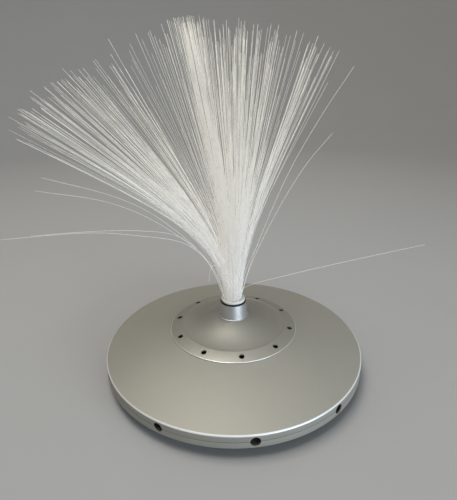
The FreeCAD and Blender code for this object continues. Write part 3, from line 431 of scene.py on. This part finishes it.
# %% Skin a path as a thin tube
def skin(maker, points, radius, sides=4):
    """A thin tube along points, closed at both ends, finer towards its tip."""
    rings = []
    for index, point in enumerate(points):
        before = points[max(index - 1, 0)]
        after = points[min(index + 1, len(points) - 1)]
        run = (after - before).normalized()
        side = run.cross(Vector((0.31, 0.95, 0.0))).normalized()
        other = run.cross(side)
        thick = radius * (1.0 - TIP_TAPER * index / (len(points) - 1))
        ring = []
        for corner in range(sides):
            angle = 2 * math.pi * corner / sides
            offset = side * math.cos(angle) + other * math.sin(angle)
            ring.append(maker.verts.new((point + offset * thick) * MM))
        rings.append(ring)
    for low, high in zip(rings, rings[1:]):
        for corner in range(sides):
            after = (corner + 1) % sides
            maker.faces.new((low[corner], low[after], high[after], high[corner]))
    maker.faces.new(rings[0])
    maker.faces.new(rings[-1])


# %% [markdown]
# ## Tufts
#
# A spray that has stood for years isn't an even fan. Its fibers have gathered into tufts of
# unlike size, with thin places and one narrow, dense sheaf left of the middle. Each tuft below
# has the lean of its middle in degrees, how far its fibers stray from that, how many it has, how
# ragged its tips are, and how deep it reaches to the front and the back. Two hearts of shorter
# fibers fill the bundle over the ferrule, where the spray is densest and whitest.

# %% List the tufts
TUFTS = [
    # lean, stray, count, ragged, depth
    (-56, 2.2, 16, 0.05, 0.8), (-50.5, 1.8, 34, 0.07, 1.0), (-45.5, 1.8, 34, 0.10, 1.0),
    (-41, 1.6, 34, 0.10, 1.0), (-36, 1.8, 26, 0.11, 1.0), (-31, 1.8, 15, 0.12, 1.0),
    (-26, 2.0, 11, 0.09, 1.0), (-19.5, 2.2, 12, 0.08, 1.0), (-14.5, 1.2, 18, 0.07, 1.0),
    (-10, 1.0, 108, 0.03, 0.6), (-8, 0.9, 46, 0.06, 0.6), (-4.5, 1.4, 44, 0.09, 1.0),
    (-0.5, 1.5, 56, 0.09, 1.0), (3.5, 1.4, 52, 0.10, 1.0), (8, 1.2, 40, 0.10, 1.0),
    (12.5, 1.3, 16, 0.12, 1.0), (17, 1.4, 20, 0.11, 1.0), (20.5, 1.3, 16, 0.10, 1.0),
    (24, 1.2, 9, 0.08, 0.8),
]
HEARTS = [
    # lean, stray, count, shortest, longest
    (-1, 5.0, 300, 60.0, 150.0), (-15, 20.0, 260, 25.0, 80.0),
]
SHORT_SHARE, SHORT_LENGTHS = 0.20, (0.60, 0.95)
LEAN_FRONT, LEAN_BACK = 33.0, 41.0
ROOT_REACH = 10.0
GOLDEN_ANGLE = math.pi * (3 - math.sqrt(5))


def leans_of(tuft):
    lean, stray, count, ragged, depth = tuft
    return [(draw.gauss(lean, stray), ragged, depth) for each in range(count)]


long_ones = sorted((each for tuft in TUFTS for each in leans_of(tuft)), key=lambda each: each[0])
print("long fibers", len(long_ones))


# %% Give every fiber its place in the ferrule
def roots(count, reach):
    """Evenly spread places in the round of the ferrule, from left to right, a little mixed."""
    spots = []
    for index in range(count):
        radius = reach * math.sqrt((index + 0.5) / count)
        angle = index * GOLDEN_ANGLE
        spots.append(Vector((radius * math.cos(angle), radius * math.sin(angle), BUNDLE_TOP - 0.5)))
    return sorted(spots, key=lambda spot: spot.x + draw.gauss(0, 1.1))


# %% [markdown]
# ## Trimming the spray
#
# Seen from the front, the tips end on one round outline, a little ragged, as if the whole spray
# had been cut round a ball. Fibers that lean towards the viewer would stand out past it, so each
# fiber is shortened until its tip lies inside the ball's outline as the camera sees it. The tips
# also stay inside the CAD's box.

# %% Grow the tufts
BALL_CENTRE, BALL_RADIUS = Vector((-19, 98)), 287.0
LEFT_END, RIGHT_START = -25, 11
SNIP = 0.985
low_limit = cad_low / MM + Vector((1, 1, 0))
high_limit = cad_high / MM - Vector((1, 1, 1))
eye = camera.matrix_world.translation / MM
tufts = {"left": bmesh.new(), "middle": bmesh.new(), "right": bmesh.new()}
grown = {"left": 0, "middle": 0, "right": 0}


def trimmed(tip, ragged):
    """Says whether a tip lies inside the ball's outline and the CAD's box."""
    share = -eye.y / (tip.y - eye.y)
    seen = eye + (tip - eye) * share
    inside = (Vector((seen.x, seen.z)) - BALL_CENTRE).length < BALL_RADIUS * (1 - ragged)
    return inside and all(low_limit[axis] < tip[axis] < high_limit[axis] for axis in (0, 1, 2))


def grow(root, side, ragged, depth, length):
    deep = root.y / ROOT_REACH
    away = depth * deep * (LEAN_BACK if deep > 0 else LEAN_FRONT) + draw.gauss(0, 2.2)
    lean, azimuth = math.hypot(side, away), math.degrees(math.atan2(away, side))
    steps = 6 + int(lean / 7)
    sway, swing = draw.gauss(0, 2.5), draw.uniform(0.6, 1.4)
    short = abs(draw.gauss(0, ragged))
    points = fiber_path(root, lean, azimuth, length, steps, sway, swing)
    while not trimmed(points[-1], short):
        length *= SNIP
        points = fiber_path(root, lean, azimuth, length, steps, sway, swing)
    tuft = "left" if side < LEFT_END else "right" if side > RIGHT_START else "middle"
    skin(tufts[tuft], points, FIBER_RADIUS * draw.uniform(0.75, 1.15))
    grown[tuft] += 1


for root, (side, ragged, depth) in zip(roots(len(long_ones), ROOT_REACH), long_ones):
    short = draw.random() < SHORT_SHARE
    grow(root, side, ragged, depth, FIBER_LENGTH * (draw.uniform(*SHORT_LENGTHS) if short else 1.0))
for lean, stray, count, shortest, longest in HEARTS:
    leans = sorted(draw.gauss(lean, stray) for each in range(count))
    for root, side in zip(roots(count, ROOT_REACH), leans):
        grow(root, side, 0.0, 0.8, draw.uniform(shortest, longest))
strands = {}
for name, maker in tufts.items():
    strands[name] = new_object("fibers_" + name + "_tuft", maker, 180)
print("fibers", grown)

# %% [markdown]
# ## Fibers that have sprung loose
#
# A few fibers stand apart: two bend low to the left and run out almost level, a few droop over
# them, one points low to the right, two lean alone out of the right side, and a short one curls
# over by the ferrule. They are given as a few points each, and a Catmull-Rom curve
# through the points gives the smooth bend of a springy strand.

# %% Bend the loose fibers
def smooth_path(knots, steps):
    """A Catmull-Rom curve through knots."""
    ends = [knots[0] * 2 - knots[1]] + knots + [knots[-1] * 2 - knots[-2]]
    points = []
    for index in range(1, len(ends) - 2):
        a, b, c, d = ends[index - 1:index + 3]
        for step in range(steps):
            t = step / steps
            points.append(0.5 * (2 * b + (c - a) * t + (2 * a - 5 * b + 4 * c - d) * t * t
                                 + (3 * b - a - 3 * c + d) * t ** 3))
    points.append(knots[-1])
    return points


LOOSE = [
    [(-9.5, 0, 83.5), (-24, -5, 126), (-52, -14, 158), (-98, -26, 172), (-152, -38, 180), (-237, -46, 176)],
    [(-9.0, 3, 83.5), (-24, 2, 124), (-58, 0, 160), (-104, -2, 169), (-158, -6, 170), (-222, -8, 166)],
    [(-9.6, -2, 83.5), (-31, -4, 135), (-78, -8, 178), (-132, -12, 205), (-205, -16, 219)],
    [(-9.4, -4, 83.5), (-30, -10, 138), (-74, -18, 186), (-120, -24, 214), (-190, -30, 236)],
    [(-9.2, 5, 83.5), (-34, 10, 140), (-84, 20, 190), (-136, 28, 226), (-210, 36, 262)],
    [(9.6, 2, 83.5), (17, 4, 97), (76, 10, 111), (150, 18, 125), (228, 26, 139)],
    [(8.6, 0, 83.5), (24, 0, 140), (56, 0, 224), (88, 0, 286), (119, 0, 336)],
    [(9.2, 3, 83.5), (22, 6, 126), (50, 12, 186), (80, 18, 236), (108, 22, 270)],
    [(-9.8, -3, 83.5), (-14, -6, 104), (-18, -9, 124), (-22, -11, 131), (-25.5, -13, 124), (-27, -13, 111)],
]
maker = bmesh.new()
for knots in LOOSE:
    skin(maker, smooth_path([Vector(knot) for knot in knots], 7), FIBER_RADIUS)
strands["stray"] = new_object("fibers_loose", maker, 180)
print("loose fibers", len(LOOSE))

# %% [markdown]
# ## Shared effects as node groups
#
# The finishes share a few effects: the fine grain of a satin surface, the faint rings that
# spinning leaves, a little dust on faces that look up, a painted highlight along a round edge,
# and a tone that changes with height. Each effect is one node group with named inputs,
# built once. A group only puts out masks and heights. The shader itself stays in each material,
# which is easier to read and lets the material be exported.

# %% Start a node group
def new_group(name, inputs, outputs):
    """A shader node group with float sockets, apart from the Vector input that it always has."""
    group = bpy.data.node_groups.new(name, "ShaderNodeTree")
    group.interface.new_socket("Vector", in_out="INPUT", socket_type="NodeSocketVector")
    for label, value in inputs.items():
        socket = group.interface.new_socket(label, in_out="INPUT", socket_type="NodeSocketFloat")
        socket.default_value = value
    for label in outputs:
        group.interface.new_socket(label, in_out="OUTPUT", socket_type="NodeSocketFloat")
    return group, group.nodes.new("NodeGroupInput"), group.nodes.new("NodeGroupOutput")


def math_node(tree, operation, first, second=None, clamp=False):
    """A Math node with links or numbers at its inputs; gives its output socket."""
    node = tree.nodes.new("ShaderNodeMath")
    node.operation = operation
    node.use_clamp = clamp
    for index, value in enumerate((first, second)):
        if value is None:
            continue
        if isinstance(value, (int, float)):
            node.inputs[index].default_value = value
        else:
            tree.links.new(value, node.inputs[index])
    return node.outputs[0]


def reach_and_height(tree, vector):
    """Sockets for a point's distance from the upright axis and for its height."""
    split = tree.nodes.new("ShaderNodeSeparateXYZ")
    tree.links.new(vector, split.inputs[0])
    squares = [math_node(tree, "MULTIPLY", split.outputs[axis], split.outputs[axis]) for axis in "XY"]
    return math_node(tree, "SQRT", math_node(tree, "ADD", *squares)), split.outputs["Z"]


# %% Grain of a satin surface
grain, enter, leave = new_group("satin_grain", {"Scale": 900.0, "Cloud Scale": 14.0}, ["Grain", "Cloud"])
fine = grain.nodes.new("ShaderNodeTexNoise")
fine.inputs["Detail"].default_value = 3.0
grain.links.new(enter.outputs["Vector"], fine.inputs["Vector"])
grain.links.new(enter.outputs["Scale"], fine.inputs["Scale"])
cloud = grain.nodes.new("ShaderNodeTexNoise")
cloud.inputs["Detail"].default_value = 9.0
cloud.inputs["Roughness"].default_value = 0.72
grain.links.new(enter.outputs["Vector"], cloud.inputs["Vector"])
grain.links.new(enter.outputs["Cloud Scale"], cloud.inputs["Scale"])
grain.links.new(fine.outputs["Fac"], leave.inputs["Grain"])
grain.links.new(cloud.outputs["Fac"], leave.inputs["Cloud"])

# %% Rings left by spinning
rings, enter, leave = new_group("spun_rings", {"Rings": 620.0}, ["Rings"])
reach, level_up = reach_and_height(rings, enter.outputs["Vector"])
turns = math_node(rings, "MULTIPLY", reach, enter.outputs["Rings"])
lines = rings.nodes.new("ShaderNodeTexNoise")
lines.noise_dimensions = "1D"
lines.inputs["Scale"].default_value = 1.0
lines.inputs["Detail"].default_value = 4.0
rings.links.new(turns, lines.inputs["W"])
rings.links.new(lines.outputs["Fac"], leave.inputs["Rings"])

# %% Dust on faces that look up
dust, enter, leave = new_group("settled_dust", {"Amount": 0.4}, ["Dust"])
specks = dust.nodes.new("ShaderNodeTexNoise")
specks.inputs["Scale"].default_value = 260.0
specks.inputs["Detail"].default_value = 6.0
specks.inputs["Roughness"].default_value = 0.7
dust.links.new(enter.outputs["Vector"], specks.inputs["Vector"])
facing = dust.nodes.new("ShaderNodeNewGeometry")
normal = dust.nodes.new("ShaderNodeSeparateXYZ")
dust.links.new(facing.outputs["Normal"], normal.inputs[0])
upward = math_node(dust, "MAXIMUM", normal.outputs["Z"], 0.0)
over = math_node(dust, "MULTIPLY", math_node(dust, "SUBTRACT", specks.outputs["Fac"], 0.55), 5.0, True)
some = math_node(dust, "MULTIPLY", over, upward)
dust.links.new(math_node(dust, "MULTIPLY", some, enter.outputs["Amount"]), leave.inputs["Dust"])

# %% A painted highlight along a round edge
# A near-white line painted along a round edge stands for the highlight that the edge catches.
painted_highlight_group, enter, leave = new_group(
    "painted_edge_highlight", {"Radius": 0.15, "Height": 0.027, "Width": 0.001}, ["Edge"])
reach, level_up = reach_and_height(painted_highlight_group, enter.outputs["Vector"])
across = math_node(painted_highlight_group, "SUBTRACT", reach, enter.outputs["Radius"])
over = math_node(painted_highlight_group, "SUBTRACT", level_up, enter.outputs["Height"])
squares = math_node(painted_highlight_group, "ADD", math_node(painted_highlight_group, "MULTIPLY", across, across),
                    math_node(painted_highlight_group, "MULTIPLY", over, over))
share = math_node(painted_highlight_group, "DIVIDE", math_node(painted_highlight_group, "SQRT", squares), enter.outputs["Width"])
near = math_node(painted_highlight_group, "SUBTRACT", 1.6, share, True)
painted_highlight_group.links.new(near, leave.inputs["Edge"])

# %% A change of tone with height
rising, enter, leave = new_group("tone_with_height", {"Low": 0.1, "High": 0.3}, ["Fade"])
split = rising.nodes.new("ShaderNodeSeparateXYZ")
rising.links.new(enter.outputs["Vector"], split.inputs[0])
span = rising.nodes.new("ShaderNodeMapRange")
span.interpolation_type = "SMOOTHSTEP"
rising.links.new(split.outputs["Z"], span.inputs["Value"])
rising.links.new(enter.outputs["Low"], span.inputs["From Min"])
rising.links.new(enter.outputs["High"], span.inputs["From Max"])
rising.links.new(span.outputs["Result"], leave.inputs["Fade"])
print("groups", [group.name for group in (grain, rings, dust, painted_highlight_group, rising)])

# %% [markdown]
# ## Building a finish
#
# Every finish here has the same bones: two close colors mixed by the cloudy noise, a roughness
# that wanders a little, dust that lightens and dulls, and a bump from the grain and, on spun
# metal, from the rings. One helper wires that up. What is the same all over a surface, such as
# the transmission or the index of refraction, is set on the shader's own sockets afterwards.

# %% Wire one finish
# The first color is the near-white of a painted edge highlight; the second is settled dust.
PAINTED_HIGHLIGHT_COLOR, SETTLED_DUST = (0.96, 0.96, 0.94), (0.62, 0.61, 0.58)


def finish_of(name, dark, light, roughness, metallic=0.0, grain_scale=900.0, bump=0.05,
              ring_bump=0.0, dust_amount=0.0, wander=0.08, cloud_scale=14.0, edge=None, fade=None):
    """A material with a wandering tone and roughness, grain, spun rings and dust."""
    material = bpy.data.materials.new(name)
    material.use_nodes = True
    tree = material.node_tree
    shader = tree.nodes["Principled BSDF"]
    shader.inputs["Metallic"].default_value = metallic
    where = tree.nodes.new("ShaderNodeTexCoord").outputs["Object"]

    def placed(group, **values):
        node = tree.nodes.new("ShaderNodeGroup")
        node.node_tree = group
        tree.links.new(where, node.inputs["Vector"])
        for label, value in values.items():
            node.inputs[label.replace("_", " ")].default_value = value
        return node

    def mixed(mask, first, second):
        node = tree.nodes.new("ShaderNodeMix")
        node.data_type = "RGBA"
        tree.links.new(mask, node.inputs["Factor"])
        for socket, value in ((node.inputs["A"], first), (node.inputs["B"], second)):
            if isinstance(value, tuple):
                socket.default_value = (*value, 1.0)
            else:
                tree.links.new(value, socket)
        return node.outputs["Result"]

    texture = placed(grain, Scale=grain_scale, Cloud_Scale=cloud_scale)
    dirt = placed(dust, Amount=dust_amount).outputs["Dust"]
    tone = mixed(texture.outputs["Cloud"], dark, light)
    if fade:
        low, high, upper = fade
        rise = placed(rising, Low=low, High=high).outputs["Fade"]
        tone = mixed(rise, tone, upper)
    wandering = math_node(tree, "MULTIPLY_ADD", texture.outputs["Cloud"], wander)
    wandering.node.inputs[2].default_value = roughness - wander / 2
    duller = math_node(tree, "ADD", wandering, math_node(tree, "MULTIPLY", dirt, 0.3), True)
    # The edge line is a painted highlight: a near-white color and a little less roughness.
    if edge:
        radius, height, width = edge
        line = placed(painted_highlight_group, Radius=radius, Height=height, Width=width).outputs["Edge"]
        duller = math_node(tree, "SUBTRACT", duller, math_node(tree, "MULTIPLY", line, 0.18))
        tone = mixed(line, tone, PAINTED_HIGHLIGHT_COLOR)
    tree.links.new(mixed(dirt, tone, SETTLED_DUST), shader.inputs["Base Color"])
    tree.links.new(duller, shader.inputs["Roughness"])
    relief = texture.outputs["Grain"]
    if ring_bump:
        turned_lines = math_node(tree, "MULTIPLY", placed(rings).outputs["Rings"], ring_bump / bump)
        relief = math_node(tree, "ADD", relief, turned_lines)
    bumps = tree.nodes.new("ShaderNodeBump")
    bumps.inputs["Strength"].default_value = bump
    bumps.inputs["Distance"].default_value = 0.0004
    tree.links.new(relief, bumps.inputs["Height"])
    tree.links.new(bumps.outputs["Normal"], shader.inputs["Normal"])
    return material, shader


# %% [markdown]
# ## The finishes
#
# The dishes have a fine satin coat the color of aluminium with a warm cast. It is not bare metal:
# a metallic value a little under one, a middling roughness and a very fine grain give the soft
# gradients of such a coat. The neck is turned bare and a good deal smoother. The fibers are clear
# plastic; so many thin edges scatter light that the spray reads as white, so their shader lets
# some light through, sends the rest back nearly white and has a faint painted glow of its own,
# which stands for the light scattered among them.

# %% Metal finishes
# Both satin finishes carry a painted highlight, along the rim's top edge and along the cap's edge.
satin, shader = finish_of("satin_aluminium", (0.34, 0.327, 0.284), (0.41, 0.396, 0.344), 0.61, 0.50,
                          1500.0, 0.24, 0.03, 0.10, 0.07, 9.0,
                          edge=((RIM - 0.5) * MM, (RIM_TOP - 0.2) * MM, 0.7 * MM))
cap_satin, shader = finish_of("satin_aluminium_cap", (0.35, 0.337, 0.294), (0.42, 0.405, 0.354), 0.47, 0.62,
                              1500.0, 0.20, 0.04, 0.08, 0.07, 12.0,
                              edge=(CAP * MM, (cone_height(CAP) + WALL) * MM, 0.42 * MM))
# The rim wall's bluish color is a painted reflection of the cool side light; its lower roughness and higher
# metallic are its finer turning.
rim_satin_painted_reflection, shader = finish_of("rim_aluminium_painted_reflection", (0.27, 0.30, 0.35), (0.33, 0.36, 0.42), 0.38, 0.80,
                              1500.0, 0.12, 0.0, 0.05, 0.08, 9.0)
# Faces towards the hollow and the hole walls: painted shade, near black, with weak specular.
painted_shade_inside, shader = finish_of("painted_shade_inside", (0.008, 0.008, 0.008), (0.016, 0.016, 0.015), 0.90, 0.0,
                               700.0, 0.10, 0.0, 0.0, 0.10, 40.0)
shader.inputs["Specular IOR Level"].default_value = 0.15
bare, shader = finish_of("turned_aluminium", (0.47, 0.465, 0.45), (0.66, 0.655, 0.64), 0.42, 0.80,
                         900.0, 0.10, 0.12, 0.0, 0.20, 90.0)
zinc, shader = finish_of("zinc_steel", (0.44, 0.45, 0.46), (0.58, 0.58, 0.57), 0.38, 1.0,
                         700.0, 0.10, 0.0, 0.05, 0.12, 60.0)
bright, shader = finish_of("bright_reflector", (0.78, 0.78, 0.78), (0.86, 0.86, 0.85), 0.12, 1.0,
                           400.0, 0.03, 0.0, 0.0, 0.06, 30.0)
plates, shader = finish_of("core_plates", (0.10, 0.10, 0.105), (0.17, 0.17, 0.17), 0.45, 0.7,
                           700.0, 0.2, 0.0, 0.05, 0.15, 80.0)

# %% Plastic, rubber and ceramic finishes
black, shader = finish_of("black_plastic", (0.004, 0.004, 0.004), (0.009, 0.009, 0.009), 0.42, 0.0,
                          600.0, 0.06, 0.0, 0.02, 0.08, 60.0)
white, shader = finish_of("white_plastic", (0.80, 0.77, 0.69), (0.88, 0.86, 0.79), 0.32, 0.0,
                          600.0, 0.05, 0.0, 0.03, 0.08, 70.0)
shader.inputs["Subsurface Weight"].default_value = 0.15
shader.inputs["Subsurface Radius"].default_value = (0.003, 0.0026, 0.002)
ceramic, shader = finish_of("socket_ceramic", (0.76, 0.75, 0.71), (0.86, 0.85, 0.81), 0.55, 0.0,
                            500.0, 0.15, 0.0, 0.05, 0.1, 70.0)
rubber, shader = finish_of("foot_rubber", (0.020, 0.020, 0.020), (0.040, 0.040, 0.040), 0.72, 0.0,
                           900.0, 0.25, 0.0, 0.10, 0.12, 60.0)
tape, shader = finish_of("coil_tape", (0.50, 0.36, 0.05), (0.62, 0.47, 0.09), 0.42, 0.0,
                         300.0, 0.12, 0.0, 0.05, 0.1, 40.0)
terminal, shader = finish_of("terminal_plastic", (0.74, 0.73, 0.68), (0.82, 0.81, 0.77), 0.48, 0.0,
                             500.0, 0.08, 0.0, 0.05, 0.1, 50.0)

# %% Fibers, glass and color filters
clear, shader = finish_of("clear_fiber", (0.96, 0.94, 0.90), (1.0, 0.985, 0.95), 0.28, 0.0,
                          300.0, 0.02, 0.0, 0.0, 0.10, 120.0, fade=(0.13, 0.33, (0.95, 0.90, 0.79)))
shader.inputs["IOR"].default_value = 1.49
shader.inputs["Transmission Weight"].default_value = 0.18
# A faint painted glow stands for light scattered among the fibers.
shader.inputs["Emission Color"].default_value = (1.0, 0.97, 0.92, 1.0)
shader.inputs["Emission Strength"].default_value = 0.10
potted, shader = finish_of("potted_fiber_ends", (0.55, 0.55, 0.53), (0.92, 0.92, 0.90), 0.22, 0.0,
                           900.0, 0.3, 0.0, 0.0, 0.1, 900.0)
glass, shader = finish_of("quartz_glass", (0.93, 0.94, 0.95), (0.97, 0.97, 0.98), 0.05, 0.0,
                          300.0, 0.01, 0.0, 0.0, 0.02, 60.0)
shader.inputs["Transmission Weight"].default_value = 0.9
shader.inputs["IOR"].default_value = 1.46
TINTS = {"red": (0.75, 0.03, 0.03), "amber": (0.85, 0.38, 0.02), "green": (0.03, 0.45, 0.10),
         "blue": (0.03, 0.12, 0.70)}
filters = {}
for tint, color in TINTS.items():
    deep = tuple(0.8 * part for part in color)
    filters[tint], shader = finish_of("filter_" + tint + "_glass", deep, color, 0.08, 0.0,
                                      300.0, 0.01, 0.0, 0.0, 0.04, 40.0)
    shader.inputs["Transmission Weight"].default_value = 0.6
print("finishes", len(bpy.data.materials))

# %% [markdown]
# ## Dressing the pieces
#
# Each row gives a new piece, its material, the body that carries it, a material slot name and
# the CAD node that it stands for. The piece takes its material and hangs on its body, and the
# node is hidden and stays behind. That node is hidden, and stays behind for the collision checks. The
# spray's pieces ride the body that can be lifted out of the neck.

# %% Hang the new pieces on their bodies
PIECES = [
    (upper_dish, satin, "base", "spun_aluminium", "upper_shell"),
    (lower_dish, satin, "base", "spun_aluminium", "lower_shell"),
    (cap, cap_satin, "base", "pressed_aluminium", "vent_cap"),
    (neck, bare, "base", "polished_aluminium", "neck_sleeve"),
    (feet, rubber, "base", "rubber", "rubber_feet"),
    (bush, black, "base", "black_plastic", "cord_bush"),
    (black_ring, black, "ring", "black_plastic", "slip_ring"),
    (flange, white, "spray", "white_plastic", "ferrule"),
    (bundle, potted, "spray", "potted_fiber", "fiber_bundle"),
    (strands["left"], clear, "spray", "clear_fiber", "fibers_left"),
    (strands["middle"], clear, "spray", "clear_fiber", "fibers_middle"),
    (strands["right"], clear, "spray", "clear_fiber", "fibers_right"),
    (strands["stray"], clear, "spray", "clear_fiber", "stray_fibers"),
]
for piece, material, body, slot, node in PIECES:
    piece.data.materials.clear()
    piece.data.materials.append(material)
    if piece in (upper_dish, lower_dish, cap):
        piece.data.materials.append(painted_shade_inside)
        piece.data.materials.append(rim_satin_painted_reflection)
    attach(piece, body)
    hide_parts(node)
print("new pieces", len(PIECES))

# %% [markdown]
# ## Dressing the inner works
#
# The light box inside keeps its CAD shapes: brackets, motor, transformer, socket and the color
# wheel are all right as they are. They only need a finish, which is put into the material slot
# that each already has.

# %% Give the inner works their finishes
INNER = {
    "neck_nut": zinc, "wheel_hub": white, "wheel_washer": zinc, "motor_can": zinc,
    "motor_plate": zinc, "motor_shaft": zinc, "motor_bracket": zinc, "motor_screws": zinc,
    "lamp_bridge": zinc, "lamp_shield": bright, "lamp_socket": ceramic, "halogen_capsule": glass,
    "transformer_core": plates, "transformer_coil": tape, "terminal_block": terminal,
    "shell_tabs": zinc, "shell_screws": zinc, "cap_clamps": zinc, "cap_nuts": zinc,
    "cap_studs": zinc, "filter_red": filters["red"], "filter_amber": filters["amber"],
    "filter_green": filters["green"], "filter_blue": filters["blue"],
}
for node, material in INNER.items():
    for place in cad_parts[node].material_slots:
        place.material = material
print("inner pieces", len(INNER))

# %% [markdown]
# ## The studio
#
# A pale round cove stands in for floor and walls. It is turned on the same lathe, so there is no
# corner and no horizon from any side. Two soft lamps do the work: a cool one low at the right,
# which lights the rim wall and draws the highlight down the neck, and a warm one overhead for the
# cone. The low one has a narrow spread, so that it doesn't burn a patch on the floor beside it. A
# third only brightens the cove behind the spray. The world adds a little even light.

# %% Build the cove
def cove_profile(flat, bend, top, thick, steps):
    points = [(0, 0), (flat, 0)]
    for step in range(1, steps + 1):
        angle = math.radians(90 * step / steps)
        points.append((flat + bend * math.sin(angle), bend * (1 - math.cos(angle))))
    wall = flat + bend
    return points + [(wall, top), (wall + thick, top), (wall + thick, -thick), (0, -thick)]


maker = bmesh.new()
lathe(maker, cove_profile(1700, 1500, 3000, 20, 16), 96)
cove = new_object("studio_cove", maker, 30)
paint, shader = finish_of("cove_paint", (0.37, 0.37, 0.365), (0.40, 0.40, 0.395), 0.85, 0.0,
                          400.0, 0.02, 0.0, 0.0, 0.05, 3.0)
cove.data.materials.append(paint)


# %% Hang the lamps
def soft_lamp(name, spot, target, width, height, watts, color, spread=180):
    data = bpy.data.lights.new(name, "AREA")
    data.spread = math.radians(spread)
    data.shape = "RECTANGLE"
    data.size, data.size_y = width, height
    data.energy = watts
    data.color = color
    lamp = bpy.data.objects.new(name, data)
    lamp.location = spot
    lamp.rotation_euler = (Vector(target) - Vector(spot)).to_track_quat("-Z", "Y").to_euler()
    bpy.context.scene.collection.objects.link(lamp)


soft_lamp("side_lamp", (1.20, -1.35, 0.36), (0, 0, 0.10), 1.5, 0.36, 4.7, (0.70, 0.84, 1.0), 70)
soft_lamp("top_lamp", (-0.35, -0.12, 2.0), (0, 0, 0.1), 1.3, 0.9, 25.5, (1.0, 0.97, 0.92))
soft_lamp("wall_lamp", (0, 1.0, 2.4), (0, 3.2, 1.5), 2.4, 0.6, 13, (1.0, 0.98, 0.95))
world = bpy.data.worlds.new("studio_world")
world.use_nodes = True
even_light = world.node_tree.nodes["Background"]
even_light.inputs["Color"].default_value = (1.0, 0.985, 0.955, 1.0)
even_light.inputs["Strength"].default_value = 0.38
bpy.context.scene.world = world
bpy.context.scene.view_settings.view_transform = "Standard"
print("lamps", len(bpy.data.lights))
